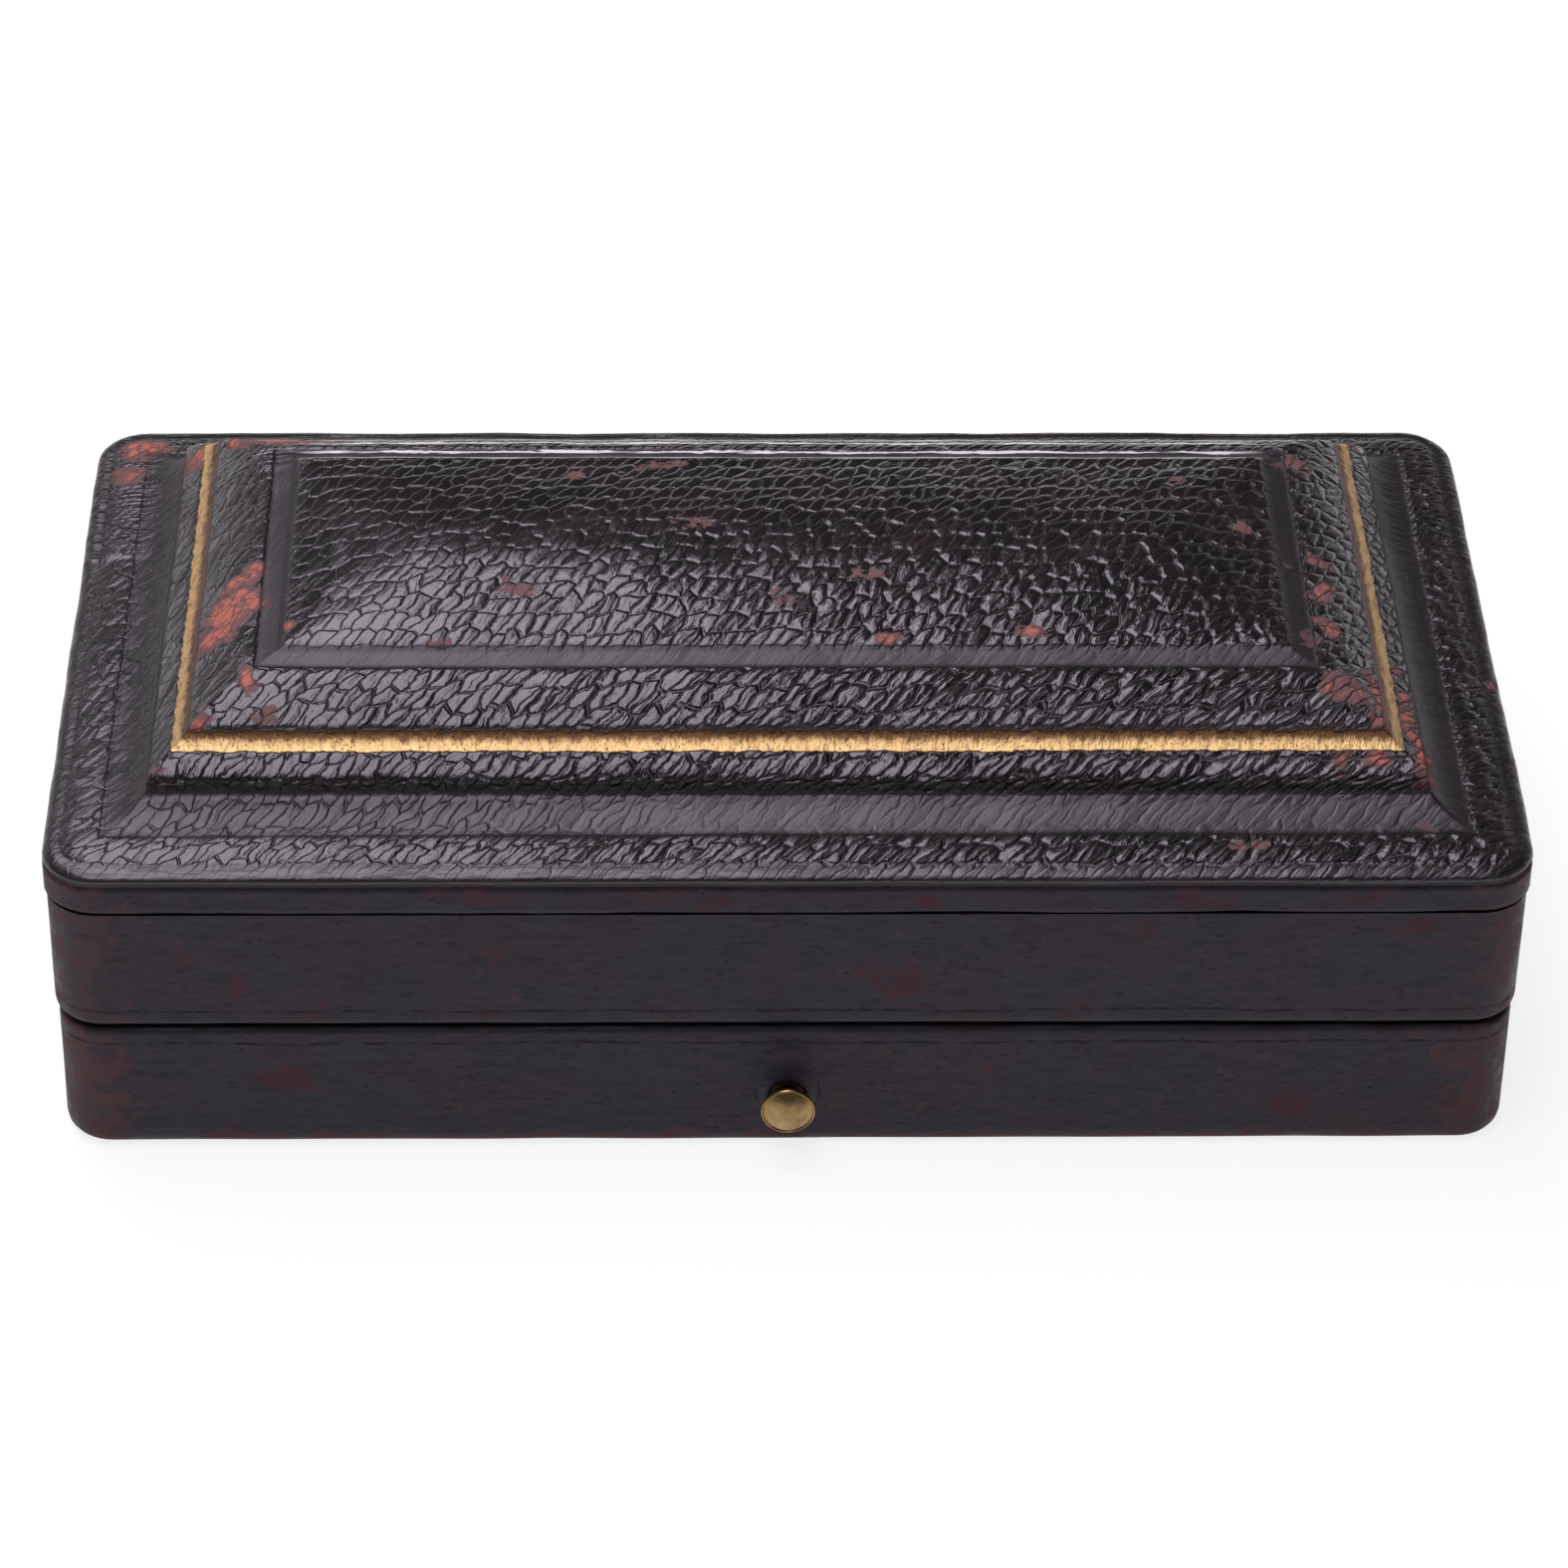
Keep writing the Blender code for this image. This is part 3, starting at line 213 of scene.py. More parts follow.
@dataclass(frozen=True)
class MoroccoLeather(Finish):
    """Goatskin dyed brown-black over a red hide, damped and pressed over the mouldings.

    The grain stands as flat polished pebbles about 1.2 mm across between dark
    creases. Tooling flattens it in the blind line and under the gold leaf, and
    rubbing takes the dye off down to the red.
    """

    top: str = "#161315"
    warm: str = "#24191d"
    shade_and_dirt_colour: str = "#0b090a"
    dull_red: str = "#63403f"
    bright_red: str = "#a85a4a"
    gold: str = "#d6af79"
    old_gold: str = "#5e3f22"
    ridge_glint_colour: str = "#e2dde0"
    pebble_mm: float = 1.04
    pebble_length: float = 1.65
    # The pebbles lean to the right: a little on the panel, more where the skin turns down in front.
    panel_half: float = 12.6
    panel_lean: float = 0.5
    edge_lean: float = 0.85
    gilt_middle: float = 9.25
    gilt_half: float = 0.56
    gilt_soft: float = 0.04
    # Across the moulding, in mm from the edge: pebble height, polish, painted shade with some dirt.
    zones: tuple[tuple[float, float, float, float], ...] = (
        (-0.5, 0.05, 0.4, 1.0), (-0.22, 0.06, 0.4, 1.0), (-0.05, 0.12, 0.5, 0.4),
        (0.2, 0.12, 0.5, 0.05), (0.9, 0.3, 0.5, 0.0), (1.25, 0.5, 0.4, 0.4),
        (1.5, 1.15, 0.65, 0.0), (3.9, 1.15, 0.65, 0.0), (4.2, 0.3, 0.3, 0.6),
        (4.5, 0.14, 0.2, 0.35), (6.3, 0.14, 0.2, 0.35), (6.75, 0.12, 0.3, 0.4),
        (6.95, 0.6, 0.3, 0.9), (7.05, 1.3, 0.6, 0.3), (7.2, 1.45, 0.8, 0.0), (8.6, 1.2, 0.8, 0.0),
        (8.72, 0.05, 0.9, 0.1), (9.72, 0.05, 0.9, 0.3), (9.88, 1.2, 0.5, 0.6),
        (10.1, 1.5, 0.8, 0.0), (11.6, 1.3, 0.8, 0.0), (14.15, 1.15, 0.8, 0.0),
        (14.3, 0.1, 0.4, 0.95), (14.48, 0.1, 0.1, 0.5), (15.5, 0.1, 0.1, 0.5),
        (15.68, 0.1, 0.4, 1.0), (16.0, 0.4, 0.4, 1.0), (16.14, 0.9, 0.6, 0.2),
        (16.5, 0.7, 0.9, 0.0),
    )

    def paint(self, tree: bpy.types.NodeTree, shader: bpy.types.Node) -> None:
        """Paints the grain, the gilt line and the wear.

        Args:
            tree: The material's node tree.
            shader: Its surface shader.
        """
        # The pattern follows the skin as it lay flat, so that it doesn't stretch down the steps.
        flat_skin = add_node(tree, "Attribute", attribute_name="skin").outputs["Vector"]
        mm = add_node(tree, "Mapping", {"Vector": flat_skin, "Scale": (1 / MM,) * 3})
        run = add_node(tree, "Attribute", attribute_name="run").outputs["Fac"]
        wear = add_node(tree, "Attribute", attribute_name="wear").outputs["Fac"]

        # Slow swirls and fine jitter keep the pebbles from looking like cut cells.
        swirl = add_node(tree, "TexNoise", [mm, 0.45, 2.0])
        jitter = add_node(tree, "TexNoise", [mm, 1.9, 2.0])
        pushes = []
        for source, reach in ((swirl, 1.1), (jitter, 0.2)):
            centred = add_node(
                tree, "VectorMath", [source.outputs["Color"], MIDDLE], operation="SUBTRACT"
            )
            pushes.append(add_node(tree, "VectorMath", [centred, reach], operation="SCALE"))
        push = add_node(tree, "VectorMath", pushes, operation="ADD")
        pushed = add_node(tree, "VectorMath", [mm, push], operation="ADD")
        x, y, _ = add_node(tree, "SeparateXYZ", [pushed]).outputs
        inside = add_node(tree, "Clamp", [y, -self.panel_half, self.panel_half])
        sheared = add_node(tree, "Math", [y, -self.edge_lean, x], operation="MULTIPLY_ADD")
        less = self.edge_lean - self.panel_lean
        eased_lean = add_node(tree, "Math", [inside, less, sheared], operation="MULTIPLY_ADD")
        drawn_out = add_node(tree, "Math", [y, 1 / self.pebble_length], operation="MULTIPLY")
        lean = add_node(tree, "CombineXYZ", [eased_lean, drawn_out])
        pebble, cell, small = (
            add_node(
                tree,
                "TexVoronoi",
                {"Vector": lean, "Scale": smaller / self.pebble_mm, "Randomness": chance},
                voronoi_dimensions="2D",
                feature=feature,
            )
            for smaller, chance, feature in (
                (1.0, 0.68, "DISTANCE_TO_EDGE"),
                (1.0, 0.68, "F1"),
                (1.9, 1.0, "DISTANCE_TO_EDGE"),
            )
        )
        fine = add_node(tree, "TexNoise", [mm, 5.5, 3.0])
        slow = add_node(tree, "TexNoise", [mm, 0.16, 3.0])

        left_right, to_back, _ = add_node(tree, "SeparateXYZ", [mm]).outputs
        crease_width = add_node(tree, "MapRange", [left_right, -38.0, 20.0, 0.085, 0.2])
        stand = add_node(tree, "MapRange", [pebble, 0.0, crease_width], **SMOOTH)
        # Each pebble leans its own way, so that some catch the light and some don't.
        from_middle = add_node(
            tree, "VectorMath", [lean, cell.outputs["Position"]], operation="SUBTRACT"
        )
        chance = add_node(
            tree, "VectorMath", [cell.outputs["Color"], MIDDLE], operation="SUBTRACT"
        )
        slope = add_node(tree, "VectorMath", [chance, (0.14, 0.11, 0.0)], operation="MULTIPLY")
        tilt = add_node(tree, "VectorMath", [from_middle, slope], operation="DOT_PRODUCT")
        arch = add_node(tree, "MapRange", [pebble, 0.0, 0.5, 0.0, math.pi / 2])
        crown = add_node(tree, "Math", [arch], operation="SINE")
        # Furrows run along the lean and join pebble to pebble.
        drawn = add_node(tree, "Mapping", {"Vector": lean, "Scale": (1.15, 0.3, 1.0)})
        furrow = add_node(tree, "TexNoise", [drawn, 1.0, 2.0])
        hairline = add_node(tree, "MapRange", [small, 0.0, 0.09], **SMOOTH)

        # Every tooled edge wanders a little where the tool rode over the grain.
        ragged = add_node(tree, "TexNoise", [mm, 1.3, 4.0])
        wander = add_node(tree, "MapRange", [ragged, 0.3, 0.7, -0.09, 0.09])
        moved = add_node(tree, "Math", [run, wander], operation="ADD")
        lowest = self.zones[0][0]
        span = self.zones[-1][0] - lowest
        across = add_node(tree, "MapRange", [moved, lowest, lowest + span])
        stops = [((at - lowest) / span, (*amounts, 1.0)) for at, *amounts in self.zones]
        # The ramp gives pebble height, polish and painted shade with dirt across the moulding.
        ramp = add_node(tree, "ValToRGB", [across], stops=stops)
        standing, polish, edge_shade_and_dirt = add_node(tree, "SeparateColor", [ramp]).outputs
        # Handling has pressed the left end flatter than the right.
        flatter = add_node(tree, "MapRange", [left_right, -38.0, 25.0, 0.55, 1.1])
        # There the cove has kept its grain.
        kept_left = add_node(tree, "MapRange", [left_right, -34.0, -6.0, 0.85, 0.0])
        in_cove = add_node(tree, "MapRange", [moved, 6.9, 6.5, 0.0, kept_left])
        out_cove = add_node(tree, "MapRange", [moved, 4.0, 4.3, 0.0, in_cove])
        grained = add_node(tree, "Math", [standing, out_cove], operation="ADD")
        pressed = add_node(tree, "Math", [grained, flatter], operation="MULTIPLY")
        deeper = add_node(tree, "MapRange", [to_back, -8.0, 8.0, 1.0, 0.9])
        relief = add_node(tree, "Math", [pressed, deeper], operation="MULTIPLY")
        # Thin cracks run along the rim, where the skin is drawn over the edge.
        stretched = add_node(tree, "Math", [run, 9.0], operation="MULTIPLY")
        round_rim = add_node(tree, "CombineXYZ", [stretched, left_right, to_back])
        cracks = add_node(tree, "TexNoise", [round_rim, 0.45, 4.0])
        at_rim = add_node(tree, "MapRange", [run, 0.95, 1.35, 0.8, 0.0])
        cracked_rim = add_node(tree, "MapRange", [cracks, 0.47, 0.62, 0.0, at_rim], **SMOOTH)

        # Gold leaf: a band across the profile with a slightly ragged edge.
        off = add_node(tree, "Math", [moved, self.gilt_middle], operation="SUBTRACT")
        away = add_node(tree, "Math", [off], operation="ABSOLUTE")
        ends = (self.gilt_half - self.gilt_soft, self.gilt_half + self.gilt_soft)
        leaf = add_node(tree, "MapRange", [away, *ends, 1.0, 0.0], **SMOOTH)
        fleck = add_node(tree, "MapRange", [fine, 0.62, 0.7, 1.0, 0.35])
        gilt = add_node(tree, "Math", [leaf, fleck], operation="MULTIPLY")

        # The patches of the piece, broken up by the grain, so that the red sits on the pebbles.
        breakup = add_node(tree, "TexNoise", [mm, 1.3, 5.0, 0.7])
        eaten = add_node(tree, "MapRange", [breakup, 0.3, 0.7, 0.1, 1.3])
        by_pebble = add_node(tree, "SeparateColor", [cell.outputs["Color"]])
        held = add_node(tree, "Math", [by_pebble, 0.6, eaten], operation="MULTIPLY_ADD")
        bitten = add_node(tree, "Math", [wear, held], operation="MULTIPLY")
        rubbed = add_node(tree, "MapRange", [bitten, 0.5, 0.7], **SMOOTH)
        bare = add_node(tree, "MapRange", [bitten, 1.1, 1.75], **SMOOTH)

        warmth = add_node(tree, "MapRange", [slow, 0.42, 0.7])
        dyed = add_node(tree, "Mix", [warmth, linear(self.top), linear(self.warm)], **COLOURS)
        red = add_node(
            tree, "Mix", [bare, linear(self.dull_red), linear(self.bright_red)], **COLOURS
        )
        worn = add_node(tree, "Mix", [rubbed, dyed, red], **COLOURS)
        # Painted shade, with dye and dirt, in the creases and on the tooled edges and steps.
        cut = add_node(tree, "MapRange", [pebble, 0.0, 0.06, 0.9, 0.0], **SMOOTH)
        crease_shade = add_node(tree, "Math", [cut, relief], operation="MULTIPLY")
        edges = add_node(tree, "Math", [edge_shade_and_dirt, cracked_rim], operation="MAXIMUM")
        painted_shade_and_dirt = add_node(tree, "Math", [crease_shade, edges], operation="ADD", use_clamp=True)
        leather = add_node(tree, "Mix", [painted_shade_and_dirt, worn, linear(self.shade_and_dirt_colour)], **COLOURS)
        # At the back, painted highlights: thin bright lines along the folds, where the ridges would
        # glint.
        along_ridge = add_node(tree, "Mapping", {"Vector": mm, "Scale": (0.16, 2.1, 1.0)})
        folds = add_node(tree, "TexNoise", [along_ridge, 1.0, 1.5])
        waved = add_node(tree, "Math", [folds, 0.8, moved], operation="MULTIPLY_ADD")
        on_fold = add_node(tree, "Math", [waved, 0.75], operation="PINGPONG")
        behind = add_node(tree, "MapRange", [to_back, 11.2, 12.0, 0.0, 0.9])
        sideways = add_node(tree, "Math", [left_right], operation="ABSOLUTE")
        off_corner = add_node(tree, "MapRange", [sideways, 35.5, 32.5, 0.0, behind])
        broken = add_node(tree, "MapRange", [slow, 0.34, 0.44, 0.0, off_corner])
        before_gilt = add_node(tree, "MapRange", [run, 10.2, 10.5, 0.0, broken])
        ridge_glint = add_node(tree, "MapRange", [on_fold, 0.22, 0.1, 0.0, before_gilt])
        leather = add_node(tree, "Mix", [ridge_glint, leather, linear(self.ridge_glint_colour)], **COLOURS)
        # The gold leaf is tarnished in its wrinkles and darker towards its upper edge.
        across_gilt = add_node(tree, "Mapping", {"Vector": mm, "Scale": (2.3, 0.8, 1.0)})
        wrinkle = add_node(tree, "TexNoise", [across_gilt, 1.0, 4.0, 0.7])
        tarnish = add_node(tree, "MapRange", [wrinkle, 0.46, 0.7])
        upper = add_node(tree, "MapRange", [off, -0.2, self.gilt_half * 0.7], **SMOOTH)
        tarnish_and_darker_top = add_node(tree, "Math", [tarnish, 0.6, upper], operation="MULTIPLY_ADD")
        cracked = add_node(
            tree, "Math", [cut, 0.25, tarnish_and_darker_top], operation="MULTIPLY_ADD", use_clamp=True
        )
        gold = add_node(tree, "Mix", [cracked, linear(self.gold), linear(self.old_gold)], **COLOURS)
        colour = add_node(tree, "Mix", [gilt, leather, gold], **COLOURS)
        metal = add_node(tree, "Math", [gilt, 0.7], operation="MULTIPLY")

        # Pebble tops are polished by handling; creases and bare hide stay matt.
        sheen = add_node(tree, "MapRange", [polish, 0.0, 1.0, 0.42, 0.17])
        dull = add_node(tree, "Mix", [painted_shade_and_dirt, sheen, 0.5], **VALUES)
        rough = add_node(tree, "Mix", [rubbed, dull, 0.75], **VALUES)
        rough = add_node(tree, "Mix", [gilt, rough, 0.44], **VALUES)

        # The grain's height in mm: flat pebbles 0.1 mm proud, lightly crowned, with hairlines.
        level = add_node(tree, "Math", [tilt, 0.085], operation="ADD")
        flat = add_node(tree, "Math", [stand, level], operation="MULTIPLY")
        crown_height = add_node(tree, "MapRange", [left_right, -38.0, 20.0, 0.03, 0.055])
        domed = add_node(tree, "Math", [crown, crown_height, flat], operation="MULTIPLY_ADD")
        furrow_depth = add_node(tree, "MapRange", [run, 15.8, 17.5, 0.16, 0.06])
        furrowed = add_node(tree, "Math", [furrow, furrow_depth, domed], operation="MULTIPLY_ADD")
        lined = add_node(tree, "Math", [hairline, 0.007, furrowed], operation="MULTIPLY_ADD")
        smoothed = add_node(tree, "Math", [furrow, 0.05, 0.0], operation="MULTIPLY_ADD")
        gilded = add_node(tree, "Mix", [gilt, smoothed, wrinkle], **VALUES)
        leafed = add_node(tree, "MapRange", [gilt, 0.0, 1.0, 1.0, 0.1])
        under = add_node(tree, "Math", [gilded, leafed], operation="MULTIPLY")
        raised = add_node(tree, "Math", [lined, relief, under], operation="MULTIPLY_ADD")
        at_ridge = add_node(tree, "MapRange", [to_back, 10.8, 11.8, 0.0, 0.2], **SMOOTH)
        folded = add_node(tree, "Math", [folds, at_ridge, raised], operation="MULTIPLY_ADD")
        height = add_node(tree, "Math", [fine, 0.0045, folded], operation="MULTIPLY_ADD")
        bump = add_node(tree, "Bump", {"Height": height, "Strength": 1.0, "Distance": MM})
        feed(shader, {"Base Color": colour, "Metallic": metal, "Roughness": rough, "Normal": bump})
        feed(shader, {"IOR": 1.5, "Specular IOR Level": 0.65})
        feed(shader, {"Specular Tint": (0.97, 0.88, 1.0, 1.0)})


@dataclass(frozen=True)
class PolishedLeather(Finish):
    """Thin skiver pasted round the walls and burnished, so it is nearly smooth.

    A faint grain runs along the walls, thin lines are tooled beside the seam,
    and the corners and lower edges are rubbed to a brownish red.
    """

    dyed: str = "#26232a"
    dark: str = "#0b0a0c"
    warm: str = "#2c2126"
    patch_red: str = "#452429"
    rubbed_brown: str = "#4f3534"
    lines: tuple[float, ...] = ()
    line_half: float = 0.22
    seam_z: float = 10.75
    seam_half: float = 0.5

    def paint(self, tree: bpy.types.NodeTree, shader: bpy.types.Node) -> None:
        """Paints the faint grain, the tooled lines and the wear.

        Args:
            tree: The material's node tree.
            shader: Its surface shader.
        """
        mm = self.millimetres(tree)
        wear = add_node(tree, "Attribute", attribute_name="wear").outputs["Fac"]
        rub = add_node(tree, "Attribute", attribute_name="rub").outputs["Fac"]
        along = add_node(tree, "Mapping", {"Vector": mm, "Scale": (0.4, 0.4, 1.6)})
        streak = add_node(tree, "TexNoise", [along, 1.3, 5.0, 0.6])
        slow = add_node(tree, "TexNoise", [mm, 0.14, 3.0])
        cloud = add_node(tree, "TexNoise", [mm, 0.7, 6.0, 0.65])
        dashes = add_node(tree, "Mapping", {"Vector": mm, "Scale": (0.62, 0.62, 1.25)})
        pores = add_node(tree, "TexVoronoi", {"Vector": dashes, "Scale": 1.6, "Randomness": 1.0})

        warmth = add_node(tree, "MapRange", [slow, 0.45, 0.68])
        base = add_node(tree, "Mix", [warmth, linear(self.dyed), linear(self.warm)], **COLOURS)
        streaky = add_node(tree, "MapRange", [streak, 0.46, 0.7, 0.0, 0.7])
        shaded = add_node(tree, "Mix", [streaky, base, linear(self.dark)], **COLOURS)
        crowded = add_node(tree, "MapRange", [cloud, 0.44, 0.66, 0.0, 0.9])
        pricks = add_node(tree, "MapRange", [pores, 0.08, 0.4, crowded, 0.0], **SMOOTH)
        pricked = add_node(tree, "Mix", [pricks, shaded, linear(self.dark)], **COLOURS)
        ragged = add_node(tree, "MapRange", [cloud, 0.3, 0.7, -0.6, 0.6])
        colour = pricked
        masks = []
        for amount, tint, strength in ((wear, self.patch_red, 0.7), (rub, self.rubbed_brown, 0.8)):
            eaten = add_node(tree, "Math", [amount, ragged], operation="ADD")
            mask = add_node(tree, "MapRange", [eaten, 0.3, 0.95, 0.0, strength], **SMOOTH)
            masks.append(mask)
            colour = add_node(tree, "Mix", [mask, colour, linear(tint)], **COLOURS)

        # The tooled lines: narrow pressed grooves that wander a little and fade in places.
        height = add_node(tree, "SeparateXYZ", [mm]).outputs["Z"]
        wander = add_node(tree, "MapRange", [slow, 0.3, 0.7, -0.12, 0.12])
        level = add_node(tree, "Math", [height, wander], operation="ADD")
        groove: Any = 0.0
        for line in self.lines:
            off = add_node(tree, "Math", [level, line], operation="SUBTRACT")
            away = add_node(tree, "Math", [off], operation="ABSOLUTE")
            pressed = add_node(tree, "MapRange", [away, 0.0, self.line_half, 1.0, 0.0], **SMOOTH)
            groove = add_node(tree, "Math", [groove, pressed], operation="MAXIMUM")
        faded = add_node(tree, "MapRange", [cloud, 0.4, 0.6, 0.1])
        tooled = add_node(tree, "Math", [groove, faded], operation="MULTIPLY")
        # Painted shade along the seam darkens the edges on both sides of the gap.
        beside = add_node(tree, "Math", [level, self.seam_z], operation="SUBTRACT")
        from_seam = add_node(tree, "Math", [beside], operation="ABSOLUTE")
        seam_shade = add_node(tree, "MapRange", [from_seam, 0.2, self.seam_half, 0.9, 0.0], **SMOOTH)
        tooled_lines_and_seam_shade = add_node(tree, "Math", [tooled, seam_shade], operation="MAXIMUM")
        colour = add_node(tree, "Mix", [tooled_lines_and_seam_shade, colour, linear(self.dark)], **COLOURS)

        matt = add_node(tree, "Math", [masks[0], masks[1]], operation="MAXIMUM")
        lined = add_node(tree, "Math", [matt, tooled_lines_and_seam_shade], operation="MAXIMUM")
        dull = add_node(tree, "Math", [lined, pricks], operation="MAXIMUM")
        rough = add_node(tree, "MapRange", [dull, 0.0, 1.0, 0.42, 0.75])

        grain = add_node(tree, "Math", [streak, 0.03], operation="MULTIPLY")
        rise = add_node(tree, "Math", [cloud, 0.05, grain], operation="MULTIPLY_ADD")
        pricked_in = add_node(tree, "Math", [pricks, -0.03, rise], operation="MULTIPLY_ADD")
        sunk = add_node(tree, "Math", [tooled, -0.06, pricked_in], operation="MULTIPLY_ADD")
        bump = add_node(tree, "Bump", {"Height": sunk, "Strength": 1.0, "Distance": MM})
        feed(shader, {"Base Color": colour, "Roughness": rough, "Normal": bump})
        feed(shader, {"IOR": 1.5, "Specular IOR Level": 0.26})
        feed(shader, {"Specular Tint": (0.95, 0.87, 1.06, 1.0)})


@dataclass(frozen=True)
class AgedBrass(Finish):
    """Rolled or turned brass with years of handling: bright where touched, brown in the hollows."""

    bright: str = "#a98c60"
    brown: str = "#4f3d25"
    tarnish: float = 0.5
    polish: float = 0.3
    stretch: tuple[float, float, float] = (1.0, 1.0, 1.0)

    def paint(self, tree: bpy.types.NodeTree, shader: bpy.types.Node) -> None:
        """Paints the tarnish and the fine scratches.

        Args:
            tree: The material's node tree.
            shader: Its surface shader.
        """
        mm = self.millimetres(tree)
        drawn = add_node(tree, "Mapping", {"Vector": mm, "Scale": self.stretch})
        cloud = add_node(tree, "TexNoise", [mm, 0.9, 5.0, 0.6])
        marks = add_node(tree, "TexNoise", [drawn, 7.0, 3.0])
        aged = add_node(tree, "MapRange", [cloud, 0.35, 0.7, 0.0, self.tarnish])
        colour = add_node(tree, "Mix", [aged, linear(self.bright), linear(self.brown)], **COLOURS)
        rough = add_node(tree, "MapRange", [aged, 0.0, 1.0, self.polish, self.polish + 0.3])
        bump = add_node(tree, "Bump", {"Height": marks, "Strength": 1.0, "Distance": 0.012 * MM})
        feed(shader, {"Base Color": colour, "Normal": bump, "Roughness": rough, "Metallic": 1.0})


@dataclass(frozen=True)
class SilkSatin(Finish):
    """Ivory silk satin: long warp floats give it a soft streak of light across the threads.

    Real threads lie 0.05 mm apart, too fine to show, so they are drawn at 0.2 mm.
    """

    silk: str = "#f2ead8"
    aged: str = "#e0d0ae"
    thread_mm: float = 0.2

    def paint(self, tree: bpy.types.NodeTree, shader: bpy.types.Node) -> None:
        """Paints the threads and the yellowing.

        Args:
            tree: The material's node tree.
            shader: Its surface shader.
        """
        mm = self.millimetres(tree)
        warp = add_node(tree, "Mapping", {"Vector": mm, "Scale": (0.12, 1.0, 0.5)})
        threads = add_node(tree, "TexNoise", [warp, 1 / self.thread_mm, 2.0])
        slow = add_node(tree, "TexNoise", [mm, 0.08, 4.0])
        age = add_node(tree, "MapRange", [slow, 0.4, 0.75, 0.0, 0.5])
        base = add_node(tree, "Mix", [age, linear(self.silk), linear(self.aged)], **COLOURS)
        shade = add_node(tree, "MapRange", [threads, 0.35, 0.65, 0.0, 0.22])
        colour = add_node(tree, "Mix", [shade, base, linear(self.aged)], **COLOURS)
        bump = add_node(tree, "Bump", {"Height": threads, "Strength": 1.0, "Distance": 0.03 * MM})
        feed(
            shader,
            {
                "Base Color": colour,
                "Normal": bump,
                "Roughness": 0.38,
                "Sheen Weight": 0.25,
                "Anisotropic": 0.5,
            },
        )


@dataclass(frozen=True)
class SilkVelvet(Finish):
    """Short-pile velvet over card: dark face on, paler where the pile is seen from its side.

    The pile's tips are about 0.1 mm apart and are drawn at 0.25 mm.
    """

    pile: str = "#0f1434"
    crushed: str = "#1f2650"
    bloom: str = "#7d86c8"
    tip_mm: float = 0.25

    def paint(self, tree: bpy.types.NodeTree, shader: bpy.types.Node) -> None:
        """Paints the pile and where it is crushed.

        Args:
            tree: The material's node tree.
            shader: Its surface shader.
        """
        mm = self.millimetres(tree)
        tips = add_node(tree, "TexNoise", [mm, 1 / self.tip_mm, 3.0])
        crush = add_node(
            tree, "TexNoise", {"Vector": mm, "Scale": 0.22, "Detail": 3.0, "Distortion": 0.8}
        )
        nap = add_node(tree, "MapRange", [crush, 0.4, 0.68, 0.0, 0.6])
        speck = add_node(tree, "MapRange", [tips, 0.4, 0.7, 0.0, 0.45])
        lifted = add_node(tree, "Math", [nap, speck], operation="ADD", use_clamp=True)
        colour = add_node(tree, "Mix", [lifted, linear(self.pile), linear(self.crushed)], **COLOURS)
        bump = add_node(tree, "Bump", {"Height": tips, "Strength": 1.0, "Distance": 0.12 * MM})
        feed(shader, {"Base Color": colour, "Normal": bump, "Roughness": 0.95})
        feed(shader, {"Specular IOR Level": 0.15, "Sheen Weight": 0.5, "Sheen Roughness": 0.35})
        feed(shader, {"Sheen Tint": linear(self.bloom)})


@dataclass(frozen=True)
class Softwood(Finish):
    """Planed pine: pale early wood between darker rings, running along each board."""

    early: str = "#c9a576"
    late: str = "#9b7145"

    def paint(self, tree: bpy.types.NodeTree, shader: bpy.types.Node) -> None:
        """Paints the rings and fibres.

        Args:
            tree: The material's node tree.
            shader: Its surface shader.
        """
        mm = self.millimetres(tree)
        along = add_node(tree, "Mapping", {"Vector": mm, "Scale": (0.04, 0.9, 0.9)})
        rings = add_node(
            tree, "TexNoise", {"Vector": along, "Scale": 0.8, "Detail": 4.0, "Distortion": 0.6}
        )
        fibre = add_node(tree, "TexNoise", [along, 6.0, 2.0])
        mix = add_node(tree, "MapRange", [rings, 0.4, 0.62])
        colour = add_node(tree, "Mix", [mix, linear(self.early), linear(self.late)], **COLOURS)
        bump = add_node(tree, "Bump", {"Height": fibre, "Strength": 1.0, "Distance": 0.04 * MM})
        feed(shader, {"Base Color": colour, "Normal": bump, "Roughness": 0.7})


@dataclass(frozen=True)
class PulpBoard(Finish):
    """Pressed pulp or paper, with flecks of fibre and a soft tooth."""

    body: str = "#8d8478"
    fleck: str = "#5d554b"
    tooth_mm: float = 0.3

    def paint(self, tree: bpy.types.NodeTree, shader: bpy.types.Node) -> None:
        """Paints the fibres.

        Args:
            tree: The material's node tree.
            shader: Its surface shader.
        """
        mm = self.millimetres(tree)
        fibre = add_node(
            tree,
            "TexNoise",
            {"Vector": mm, "Scale": 1 / self.tooth_mm, "Detail": 4.0, "Distortion": 1.2},
        )
        mix = add_node(tree, "MapRange", [fibre, 0.45, 0.75])
        colour = add_node(tree, "Mix", [mix, linear(self.body), linear(self.fleck)], **COLOURS)
        bump = add_node(tree, "Bump", {"Height": fibre, "Strength": 1.0, "Distance": 0.05 * MM})
        feed(shader, {"Base Color": colour, "Normal": bump, "Roughness": 0.85})


